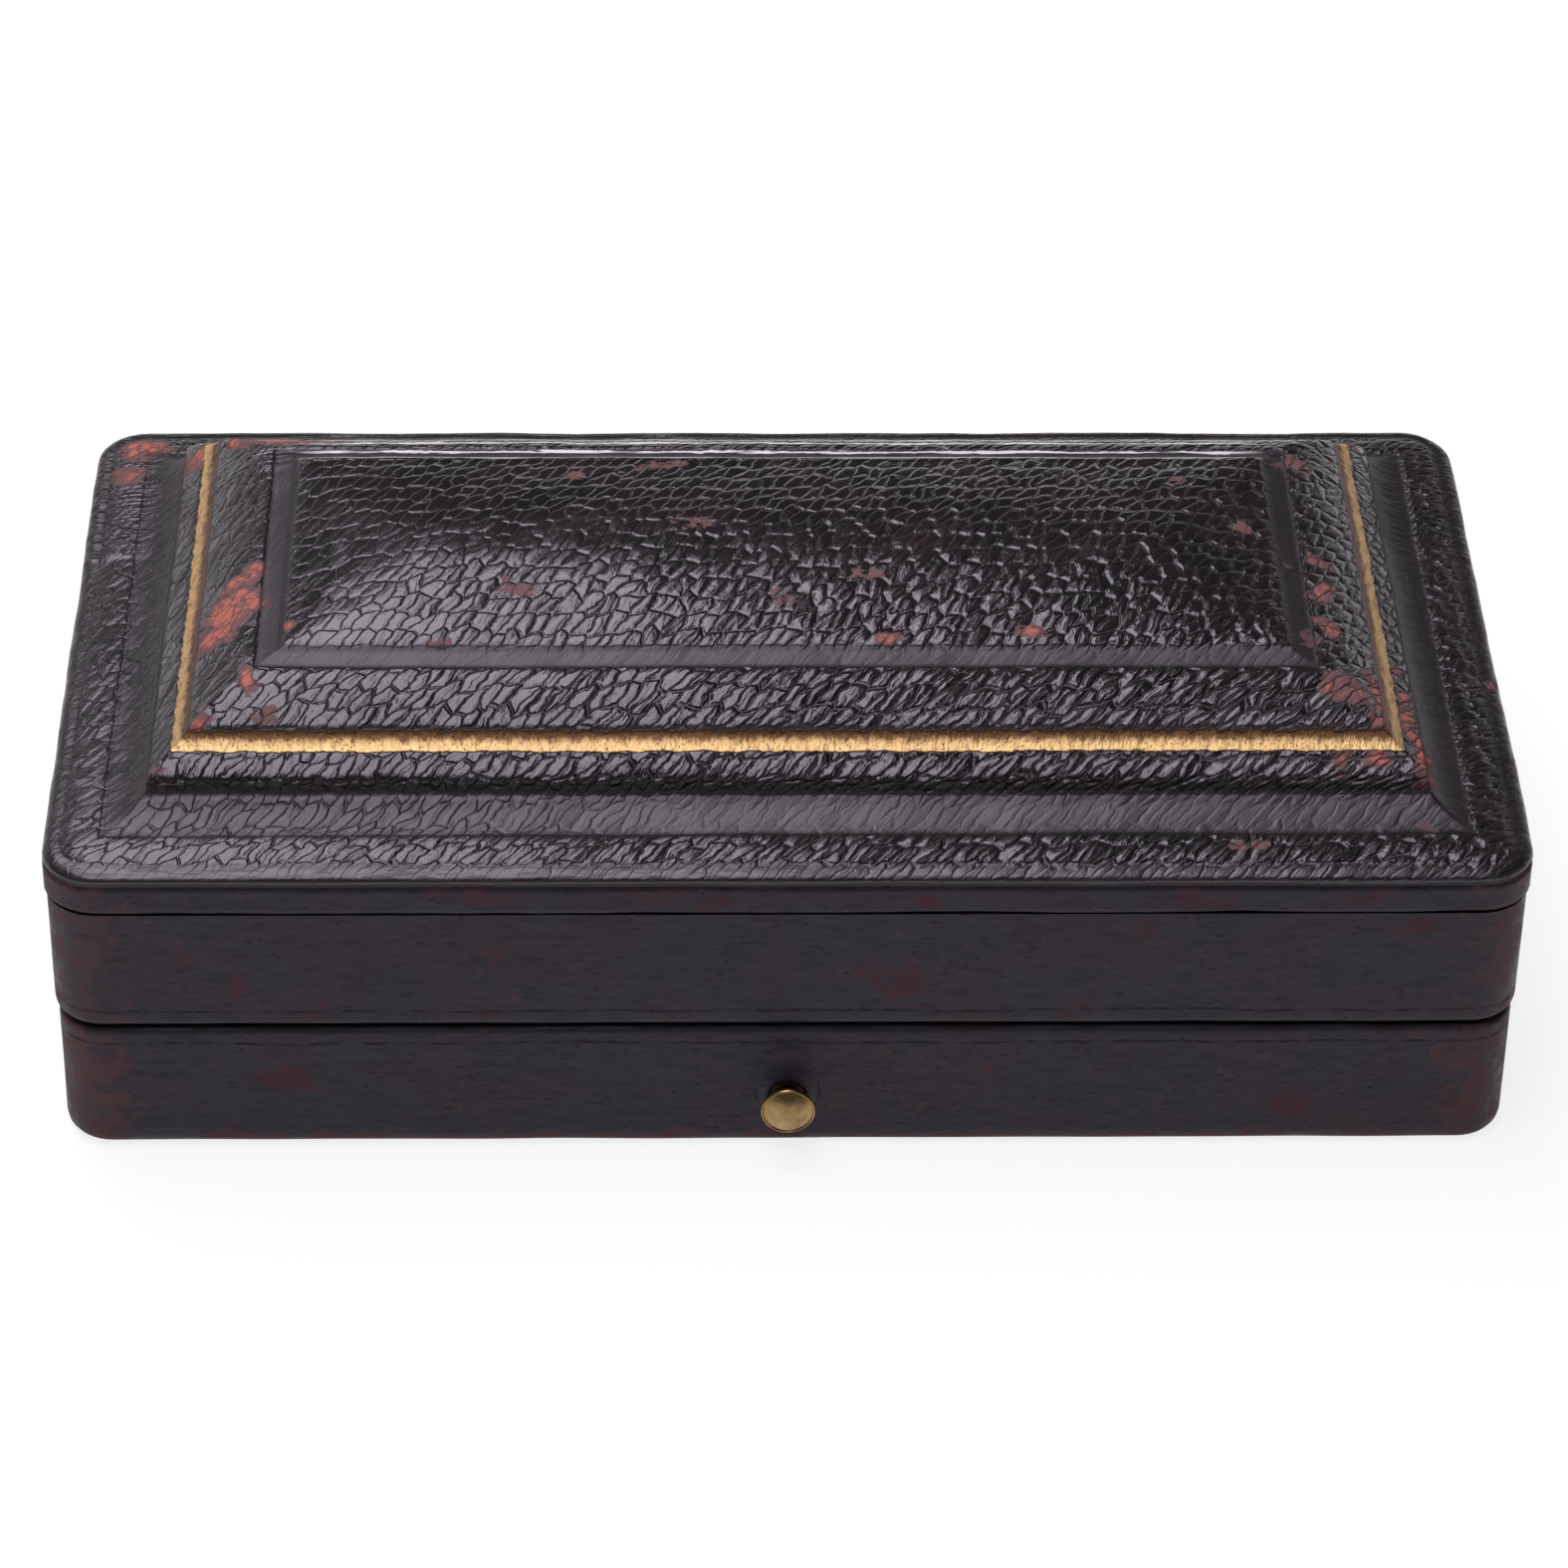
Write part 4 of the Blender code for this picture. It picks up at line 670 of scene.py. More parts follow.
class Finishes:
    """Every material of the box, made once."""

    def __init__(self) -> None:
        """Makes them all."""
        self.morocco = MoroccoLeather("pressed_morocco_leather").make()
        self.walls = PolishedLeather("polished_wall_leather", lines=(9.3, 12.3)).make()
        self.button = AgedBrass("turned_button_brass", tarnish=0.55, polish=0.26).make()
        self.rolled = AgedBrass(
            "rolled_hinge_brass", tarnish=0.8, polish=0.34, stretch=(0.08, 1.0, 1.0)
        ).make()
        # The bush is near-black brass: painted shade for the deep shadow behind the button's head,
        # with some grime.
        self.bush = AgedBrass(
            "grimy_shaded_bush_brass", bright="#4a3b26", brown="#17110c", tarnish=1.0, polish=0.5
        ).make()
        self.satin = SilkSatin("ivory_silk_satin").make()
        self.velvet = SilkVelvet("blue_silk_velvet").make()
        self.wood = Softwood("planed_pine").make()
        self.card = PulpBoard("grey_pulp_card").make()
        self.paper = PulpBoard(
            "grained_lining_paper", body="#2f2526", fleck="#1b1415", tooth_mm=0.45
        ).make()


# ------------------------------------------------------------------ mesh helpers


def mixed(a: float, b: float, share: float) -> float:
    """Gives the value a share of the way from a to b."""
    return a + (b - a) * share


def held(value: float, low: float, high: float) -> float:
    """Keeps a value between two others."""
    return min(max(value, low), high)


def eased(value: float, low: float, high: float) -> float:
    """Gives 0 below low, 1 above high, and a smooth step between."""
    share = held((value - low) / (high - low), 0.0, 1.0)
    return share * share * (3 - 2 * share)


@dataclass(frozen=True)
class Ring:
    """A rounded rectangle round the box, in millimetres.

    run says how far across the profile it lies, and spread how much further out it lay when the
    skin was flat, both for the finish.
    """

    half_x: float
    half_y: float
    corner: float
    z: float
    run: float = 0.0
    spread: float = 0.0

    def flat(self) -> Ring:
        """Gives the ring as it lay on the flat skin."""
        return Ring(self.half_x + self.spread, self.half_y + self.spread, self.corner, 0.0)


@dataclass(frozen=True)
class Station:
    """A place that every ring has: its share of the straight sides, and the way out at a corner."""

    reach: tuple[float, float]
    out: tuple[float, float]

    def on(self, ring: Ring) -> Vector:
        """Gives the station's place on a ring, in metres."""
        x = self.reach[0] * (ring.half_x - ring.corner) + self.out[0] * ring.corner
        y = self.reach[1] * (ring.half_y - ring.corner) + self.out[1] * ring.corner
        return Vector((x, y, ring.z)) * MM


def stations_round(long_steps: int, short_steps: int, corner_steps: int) -> list[Station]:
    """Spreads stations round a rounded rectangle, anticlockwise from the front left.

    Args:
        long_steps: Steps along the front and the back.
        short_steps: Steps along each end.
        corner_steps: Steps round each corner.

    Returns:
        The stations in order.
    """
    found = []
    for side in (Side.FRONT, Side.RIGHT, Side.BACK, Side.LEFT):
        out = side.value
        way = (-out[1], out[0])
        steps = long_steps if out[0] == 0 else short_steps
        for i in range(steps + 1):
            share = -1 + 2 * i / steps
            found.append(Station((out[0] + share * way[0], out[1] + share * way[1]), out))
        first = math.atan2(out[1], out[0])
        for i in range(1, corner_steps):
            turn = first + math.pi / 2 * i / corner_steps
            end = (out[0] + way[0], out[1] + way[1])
            found.append(Station(end, (math.cos(turn), math.sin(turn))))
    return found


def drawn_skin(rings: Sequence[Ring], stations: Sequence[Station]) -> bmesh.types.BMesh:
    """Draws a skin from ring to ring by extruding a loop, and closes it where rings meet.

    Args:
        rings: The outlines in order. A closed wall ends on its first ring.
        stations: The places of the points on every ring.

    Returns:
        The skin, with "run" and "skin" layers for its finish.
    """
    bm = bmesh.new()
    place = bm.verts.layers.int.new("station")
    run = bm.verts.layers.float.new("run")
    skin = bm.verts.layers.float_vector.new("skin")
    verts = bmesh.ops.create_circle(bm, segments=len(stations), radius=MM)["verts"]
    for i, vert in enumerate(verts):
        vert[place] = i
    edges = list(bm.edges)
    for ring in rings:
        if ring is not rings[0]:
            grown = bmesh.ops.extrude_edge_only(bm, edges=edges)["geom"]
            verts = [g for g in grown if isinstance(g, bmesh.types.BMVert)]
            edges = [g for g in grown if isinstance(g, bmesh.types.BMEdge)]
        for vert in verts:
            vert.co = stations[vert[place]].on(ring)
            vert[run] = ring.run
            vert[skin] = stations[vert[place]].on(ring.flat())
    bmesh.ops.remove_doubles(bm, verts=bm.verts, dist=TINY)
    bmesh.ops.recalc_face_normals(bm, faces=bm.faces)
    bm.verts.layers.int.remove(place)
    return bm


def soft_line(points: Sequence[tuple[float, float]], rounds: int) -> Line:
    """Cuts the corners of a line of points, keeping its ends.

    Args:
        points: The line.
        rounds: How many times the corners are cut.

    Returns:
        The softened line.
    """
    line = list(points)
    for _ in range(rounds):
        cut = [line[0]]
        for a, b in zip(line, line[1:]):
            for share in (0.25, 0.75):
                cut.append((mixed(a[0], b[0], share), mixed(a[1], b[1], share)))
        line = cut + [line[-1]]
    return line


def spaced_line(points: Sequence[tuple[float, float]], gap: float) -> Line:
    """Spaces a line's points evenly, about gap apart.

    Args:
        points: The line.
        gap: The distance wanted between points.

    Returns:
        The new points, from the first to the last.
    """
    lengths = [math.dist(a, b) for a, b in zip(points, points[1:])]
    total = sum(lengths)
    steps = max(1, round(total / gap))
    reached = np.concatenate([[0.0], np.cumsum(lengths)])
    wanted = np.linspace(0.0, total, steps + 1)
    xs = np.interp(wanted, reached, [p[0] for p in points])
    ys = np.interp(wanted, reached, [p[1] for p in points])
    return [(float(x), float(y)) for x, y in zip(xs, ys)]


def quarter_turn(radius: float, steps: int = 4) -> Line:
    """Gives a rounded edge as insets and drops, from the side to the flat."""
    turns = [math.pi / 2 * i / steps for i in range(steps + 1)]
    return [(radius * (1 - math.cos(t)), radius * (1 - math.sin(t))) for t in turns]


def ripple(bm: bmesh.types.BMesh, depth: float, size: float, seed: float) -> None:
    """Moves every point a little along its normal, as handwork and age do.

    Args:
        bm: The mesh.
        depth: The most that a point moves, in mm.
        size: The length of the waves, in mm.
        seed: A shift that gives each piece its own waves.
    """
    bm.normal_update()
    shift = Vector((seed, seed * 0.37, -seed))
    moves = [
        (v, v.normal * (depth * MM * (noise.noise(v.co / (size * MM) + shift) - 0.3)))
        for v in bm.verts
    ]
    for vert, move in moves:
        vert.co += move


def boxed(place: Sequence[float], half: Sequence[float], low: float, high: float) -> Vector:
    """Holds a place in mm inside a block, and gives it in metres."""
    ends = ((-half[0], half[0]), (-half[1], half[1]), (low, high))
    return Vector([held(p, *span) for p, span in zip(place, ends)]) * MM


def keep_within(bm: bmesh.types.BMesh, half: Sequence[float], low: float, high: float) -> None:
    """Holds every point inside a block, in mm."""
    for vert in bm.verts:
        vert.co = boxed(vert.co / MM, half, low, high)


def placed(bm: bmesh.types.BMesh, name: str) -> bpy.types.Object:
    """Puts a bmesh in the scene as an object, and frees it."""
    mesh = bpy.data.meshes.new(name)
    bm.to_mesh(mesh)
    bm.free()
    made = bpy.data.objects.new(name, mesh)
    bpy.context.scene.collection.objects.link(made)
    return made


def evaluated(piece: bpy.types.Object) -> bpy.types.Mesh:
    """Gives a piece's mesh with its modifiers in it."""
    depsgraph = bpy.context.evaluated_depsgraph_get()
    return bpy.data.meshes.new_from_object(piece.evaluated_get(depsgraph))


def slice_through(bm: bmesh.types.BMesh, place: Vector, way: Sequence[float]) -> None:
    """Adds points where a plane crosses a mesh."""
    geom = bm.verts[:] + bm.edges[:] + bm.faces[:]
    bmesh.ops.bisect_plane(bm, geom=geom, plane_co=place, plane_no=way)


def round_off(
    bm: bmesh.types.BMesh,
    edges: Sequence[bmesh.types.BMEdge],
    offset: float,
    segments: int,
    clamp: bool = False,
) -> None:
    """Rounds edges off.

    Args:
        bm: The mesh.
        edges: Its edges that are rounded.
        offset: How far in the rounding starts, in mm.
        segments: The steps of the rounding.
        clamp: Whether it stops where two roundings would meet.
    """
    bmesh.ops.bevel(
        bm,
        geom=edges,
        offset=offset * MM,
        offset_type="OFFSET",
        segments=segments,
        profile=0.5,
        affect="EDGES",
        material=-1,
        clamp_overlap=clamp,
    )


def finished(
    bm: bmesh.types.BMesh,
    name: str,
    material: bpy.types.Material,
    body: Body | None,
    replaces: Iterable[str],
    sharp: float | None = None,
) -> bpy.types.Object:
    """body: The body that it rides on, or None, where it is left unattached.
        replaces: The CAD nodes that it stands for.
        sharp: Edges that turn by more than this many degrees stay sharp.

    Returns:
        The piece.
    """
    piece = placed(bm, name)
    mesh = piece.data
    mesh.materials.clear()
    mesh.materials.append(material)
    mesh.shade_smooth()
    if sharp is not None:
        mesh.set_sharp_from_angle(angle=math.radians(sharp))
    if body:
        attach(piece, body.value)
    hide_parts(*replaces)
    LOG.info("%s: %d faces", name, len(mesh.polygons))
    return piece


def cut_away(bm: bmesh.types.BMesh, cutters: Sequence[bpy.types.Object]) -> bmesh.types.BMesh:
    """Cuts solids out of a closed mesh.

    Args:
        bm: The mesh, which is freed.
        cutters: The solids, which are removed.

    Returns:
        The mesh that is left.
    """
    uncut = placed(bm, "uncut")
    for cutter in cutters:
        modifier = uncut.modifiers.new("cut", "BOOLEAN")
        modifier.object = cutter
        modifier.solver = "EXACT"
    left = bmesh.new()
    left.from_object(uncut, bpy.context.evaluated_depsgraph_get())
    for done in (uncut, *cutters):
        bpy.data.objects.remove(done)
    return left


def box_cutter(low: Sequence[float], high: Sequence[float]) -> bpy.types.Object:
    """Makes a block to cut with, from corner to corner in mm."""
    bm = bmesh.new()
    bmesh.ops.create_cube(bm, size=1.0)
    size = [(b - a) * MM for a, b in zip(low, high)]
    middle = Vector([(a + b) / 2 * MM for a, b in zip(low, high)])
    bmesh.ops.scale(bm, vec=size, verts=bm.verts)
    bmesh.ops.translate(bm, vec=middle, verts=bm.verts)
    return placed(bm, "cutter")


def rod_cutter(radius: float, start: Sequence[float], end: Sequence[float]) -> bpy.types.Object:
    """Makes a rod to cut with, along Y, from start to end in mm."""
    bm = bmesh.new()
    depth = (end[1] - start[1]) * MM
    bmesh.ops.create_cone(
        bm, cap_ends=True, segments=48, radius1=radius * MM, radius2=radius * MM, depth=depth
    )
    middle = (Vector(start) + Vector(end)) / 2 * MM
    turn = Matrix.Rotation(math.pi / 2, 4, "X")
    bmesh.ops.transform(bm, matrix=Matrix.Translation(middle) @ turn, verts=bm.verts)
    return placed(bm, "cutter")


@dataclass(frozen=True)
class Patch:
    """A rubbed place in mm, full in its middle and gone at its reach; wide stretches it along X."""

    x: float
    y: float
    z: float
    reach: float
    strength: float = 1.0
    wide: float = 1.0


def rubbed_at(*rows: tuple[float, ...]) -> tuple[Patch, ...]:
    """Makes patches from rows of their values."""
    return tuple(Patch(*row) for row in rows)


def spread_patches(piece: bpy.types.Object, name: str, patches: Sequence[Patch]) -> None:
    """Writes how strongly patches touch each point of a piece.

    Args:
        piece: The piece.
        name: The attribute's name, which its finish reads.
        patches: The rubbed places.
    """
    mesh = piece.data
    places = np.empty(len(mesh.vertices) * 3, np.float32)
    mesh.vertices.foreach_get("co", places)
    places = places.reshape(-1, 3) / MM
    pulls = [
        noise.noise_vector(Vector(p) / 3.7) * 1.3 + noise.noise_vector(Vector(p) / 1.1) * 0.5
        for p in places
    ]
    places = places + np.array(pulls, np.float32).reshape(-1, 3)
    most = np.zeros(len(places), np.float32)
    for patch in patches:
        apart = (places - (patch.x, patch.y, patch.z)) / (patch.wide, 1.0, 1.0)
        away = np.linalg.norm(apart, axis=1) / patch.reach
        share = np.clip(1.25 - away * 1.25, 0.0, 1.0)
        most = np.maximum(most, patch.strength * share * share * (3 - 2 * share))
    write_values(mesh, name, most)


def rub_corners(piece: bpy.types.Object, half: tuple[float, float], strength: float) -> None:
    """Writes where hands and shelves have rubbed the upright corners and the lowest edge.

    Args:
        piece: The leather of a wall.
        half: Its half width and half depth, in mm.
        strength: How far the upright corners are rubbed.
    """
    mesh = piece.data
    values = np.zeros(len(mesh.vertices), np.float32)
    for i, vert in enumerate(mesh.vertices):
        x, y, z = vert.co / MM + noise.noise_vector(vert.co / MM / 2.9) * 1.1
        to_corner = math.hypot(half[0] - abs(x), half[1] - abs(y))
        upright = strength * (1 - eased(to_corner, 1.0, 8.5))
        lower = 1.05 * (1 - eased(z, 0.7, 1.5))
        values[i] = max(upright, lower)
    write_values(mesh, "rub", values)


def write_values(mesh: bpy.types.Mesh, name: str, values: np.ndarray) -> None:
    """Stores one value for each point of a mesh."""
    layer = mesh.attributes.get(name) or mesh.attributes.new(name, "FLOAT", "POINT")
    layer.data.foreach_set("value", values.astype(np.float32))


# ------------------------------------------------------------------------ leather


@dataclass
class LidLeather:
    """The grained skin over the lid, from its lap up over the mouldings to the panel."""

    half: tuple[float, float] = (51.0, 28.0)
    corner: float = 3.8
    mitre: float = 0.28
    edge_z: float = 23.4
    skirt: float = 2.5
    lap_top: float = 0.42
    thickness: float = 0.5
    top_z: float = 33.4
    panel_start: float = 16.0
    panel_rise: float = 1.26
    # The moulding as inset from the edge and height over it: rim, bead, cove, step, ogee,
    # gilt line, shoulder and blind line.
    moulding: tuple[tuple[float, float], ...] = (
        (0.0, -0.55), (0.24, -0.44), (0.24, -0.28), (0.0, -0.12), (0.02, 0.12), (0.2, 0.42),
        (0.6, 0.62), (1.0, 0.7), (1.25, 0.64), (1.45, 0.76), (2.1, 0.98), (3.0, 1.13), (3.9, 1.2),
        (4.2, 1.12), (4.5, 1.2), (5.2, 1.36), (5.9, 1.7), (6.45, 2.14), (6.85, 2.56), (7.0, 2.68),
        (7.03, 3.2), (7.1, 3.5), (7.35, 3.82), (7.8, 4.22), (8.3, 4.62), (8.62, 4.86),
        (8.74, 4.79), (9.22, 5.2), (9.74, 5.6), (9.82, 5.84), (10.3, 6.24), (11.0, 6.74),
        (12.0, 7.36), (13.2, 7.86), (14.2, 8.06), (14.36, 7.9), (15.86, 8.3), (16.0, 8.5),
        (16.5, 8.68),
    )
    patches: tuple[Patch, ...] = rubbed_at(
        (-47.6, 24.2, 24.4, 2.6, 1.3), (-48.4, 21.0, 24.3, 2.2, 1.15),
        (-44.2, 18.8, 27.2, 1.7, 1.35), (-42.4, 17.6, 28.2, 2.0, 1.5, 1.3),
        (-39.2, 16.6, 30.0, 2.0, 1.7, 1.6), (-36.4, 15.8, 30.8, 1.9, 1.7, 2.2),
        (-32.6, 15.5, 31.0, 1.4, 1.2, 2.4), (-39.5, 16.5, 29.8, 2.2, 0.7, 1.3),
        (-37.6, -3.0, 31.2, 2.4, 1.5), (-38.6, -5.8, 31.0, 3.0, 1.75),
        (-39.6, -8.6, 30.6, 2.8, 1.7), (-35.0, -9.8, 31.9, 1.5, 1.2),
        (-37.3, -14.7, 31.1, 1.4, 1.9), (-40.6, -17.6, 29.5, 1.9, 1.35),
        (-36.2, -17.0, 30.0, 1.7, 0.95, 1.4), (-43.7, -20.2, 26.8, 1.3, 1.1),
        (-14.7, 8.1, 32.8, 1.6, 1.2, 1.2), (-9.0, 10.0, 32.6, 1.8, 0.75, 2.4),
        (-18.7, -6.4, 33.0, 1.8, 0.85, 1.5), (-24.2, -11.3, 32.2, 1.5, 0.85, 1.4),
        (-20.0, -12.0, 32.0, 1.2, 0.9), (0.0, -7.4, 32.8, 1.8, 0.75, 1.5),
        (5.6, -4.9, 33.2, 1.8, 0.8, 1.4), (-6.5, 1.2, 33.3, 2.6, 0.68, 1.5),
        (7.2, -11.2, 32.1, 1.2, 1.4), (16.5, -10.9, 32.2, 1.5, 1.35, 1.5),
        (32.2, 2.3, 32.6, 1.5, 1.1), (35.1, -1.3, 32.0, 1.4, 0.8), (28.3, 7.7, 32.8, 1.8, 0.75),
        (38.1, 0.1, 31.1, 1.6, 1.1), (37.7, -4.5, 31.2, 2.0, 1.1), (37.5, -8.9, 31.2, 1.7, 1.5),
        (36.4, -10.8, 31.5, 1.5, 1.0), (37.9, -15.6, 30.9, 2.6, 1.2),
        (40.9, -14.6, 29.3, 2.6, 1.3), (40.2, -17.0, 29.3, 2.2, 1.25),
        (42.8, -9.0, 28.0, 1.5, 0.9), (43.1, -12.4, 27.5, 1.7, 1.6),
        (43.4, -14.6, 27.2, 2.0, 2.0), (43.7, -17.0, 26.9, 2.1, 2.2),
        (44.1, -19.4, 26.4, 2.0, 2.0), (40.4, -19.8, 27.7, 1.5, 1.4),
        (38.0, -19.7, 27.9, 1.6, 1.0), (30.5, -25.4, 24.3, 1.3, 1.1),
        (32.2, -24.6, 24.4, 1.2, 0.9), (43.7, -23.6, 24.6, 1.5, 0.85),
        (42.8, 19.3, 27.9, 1.8, 0.85), (37.0, 12.0, 31.5, 2.2, 0.75),
        (9.5, -28.0, 22.3, 1.2, 1.0, 1.8), (27.5, -28.0, 22.2, 1.4, 0.8, 4.0),
        (39.5, -28.0, 22.2, 1.4, 0.85, 3.5), (-8.0, -28.0, 22.2, 1.4, 0.8, 5.0),
        (-21.2, -28.0, 22.2, 1.4, 0.75, 4.5), (39.0, -27.4, 24.0, 1.1, 0.8, 2.4),
        (50.9, -16.0, 23.9, 1.6, 0.62), (50.9, -6.0, 23.9, 1.6, 0.66),
        (50.9, 8.0, 23.9, 1.6, 0.66), (-50.9, -12.0, 23.9, 1.6, 0.62),
        (-50.9, 4.0, 23.9, 1.6, 0.66), (50.0, 27.0, 23.4, 1.8, 0.9),
        (-20.0, 28.0, 22.4, 1.4, 0.8, 4.0), (24.0, 28.0, 22.4, 1.4, 0.8, 4.0),
    )

    def corner_at(self, inset: float) -> float:
        """Gives the corner radius of the outline at an inset.

        Args:
            inset: The distance in from the lid's edge, in mm.

        Returns:
            The radius: the box's outside, nearly square at the mitres, and round on the panel.
        """
        outside = self.corner - inset
        panel = min((inset - self.panel_start) * 0.85, (self.half[1] - inset) * 0.94)
        return max(0.0, min(max(outside, panel, self.mitre), self.half[1] - inset))

    def profile(self) -> Line:
        """Gives the outer profile from the lap's lower edge to the ridge of the panel."""
        lap = spaced_line([(0.0, -self.skirt), (0.0, -0.55)], 0.32)
        bands = spaced_line(soft_line(self.moulding, 2), 0.25)
        start_in, start_up = bands[-1]
        reach = self.half[1] - start_in
        dome = [
            (
                start_in + reach * share,
                start_up + self.panel_rise * math.sin(min(share / 0.94, 1.0) * math.pi / 2),
            )
            for share in (i / 28 for i in range(1, 29))
        ]
        return lap[:-1] + bands + dome

    def rings(self) -> list[Ring]:
        """Gives the rings of the skin, up its inside and back down over its outside."""
        outer = self.profile()
        wall = self.thickness
        top = outer[-1][1] - wall
        rings = [Ring(self.half[0] - self.half[1], 0.0, 0.0, self.edge_z + top)]
        for inset, up in self.moulding[::-4]:
            rings.append(self.ring(max(inset, 0.0) + wall, min(up, top) - wall * 0.8, -4.0))
        rings.append(self.ring(wall, -self.skirt, -4.0))
        lengths = [math.dist(a, b) for a, b in zip(outer, outer[1:])]
        reached = np.concatenate([[0.0], np.cumsum(lengths)])
        panel = next(i for i, p in enumerate(outer) if p[0] >= self.panel_start)
        for i, (inset, up) in enumerate(outer):
            spread = 0.0
            if i < panel:
                spread = float(reached[panel] - reached[i]) - (outer[panel][0] - inset)
            rings.append(self.ring(inset, up, inset if up > 0 else up, spread))
        return rings

    def ring(self, inset: float, up: float, run: float, spread: float = 0.0) -> Ring:
        """Gives the outline at an inset and a height over the lid's edge."""
        return Ring(
            self.half[0] - inset,
            max(self.half[1] - inset, 0.0),
            self.corner_at(inset),
            self.edge_z + up,
            run,
            spread,
        )

    def build(self, finishes: Finishes) -> bpy.types.Object:
        """Builds and dresses the skin.

        Args:
            finishes: The materials.

        Returns:
            The piece.
        """
        bm = drawn_skin(self.rings(), stations_round(220, 116, 7))
        ripple(bm, 0.1, 9.0, 3.1)
        ripple(bm, 0.05, 2.6, 8.4)
        keep_within(bm, self.half, self.edge_z - self.skirt, self.top_z)
        piece = finished(
            bm, "lid_grained_leather", finishes.morocco, Body.LID, ["lid_top_leather"]
        )
        piece.data.materials.append(finishes.walls)
        for face in piece.data.polygons:
            if face.center.z / MM < self.edge_z - self.lap_top:
                face.material_index = 1
        spread_patches(piece, "wear", self.patches)
        rub_corners(piece, self.half, 0.7)
        return piece


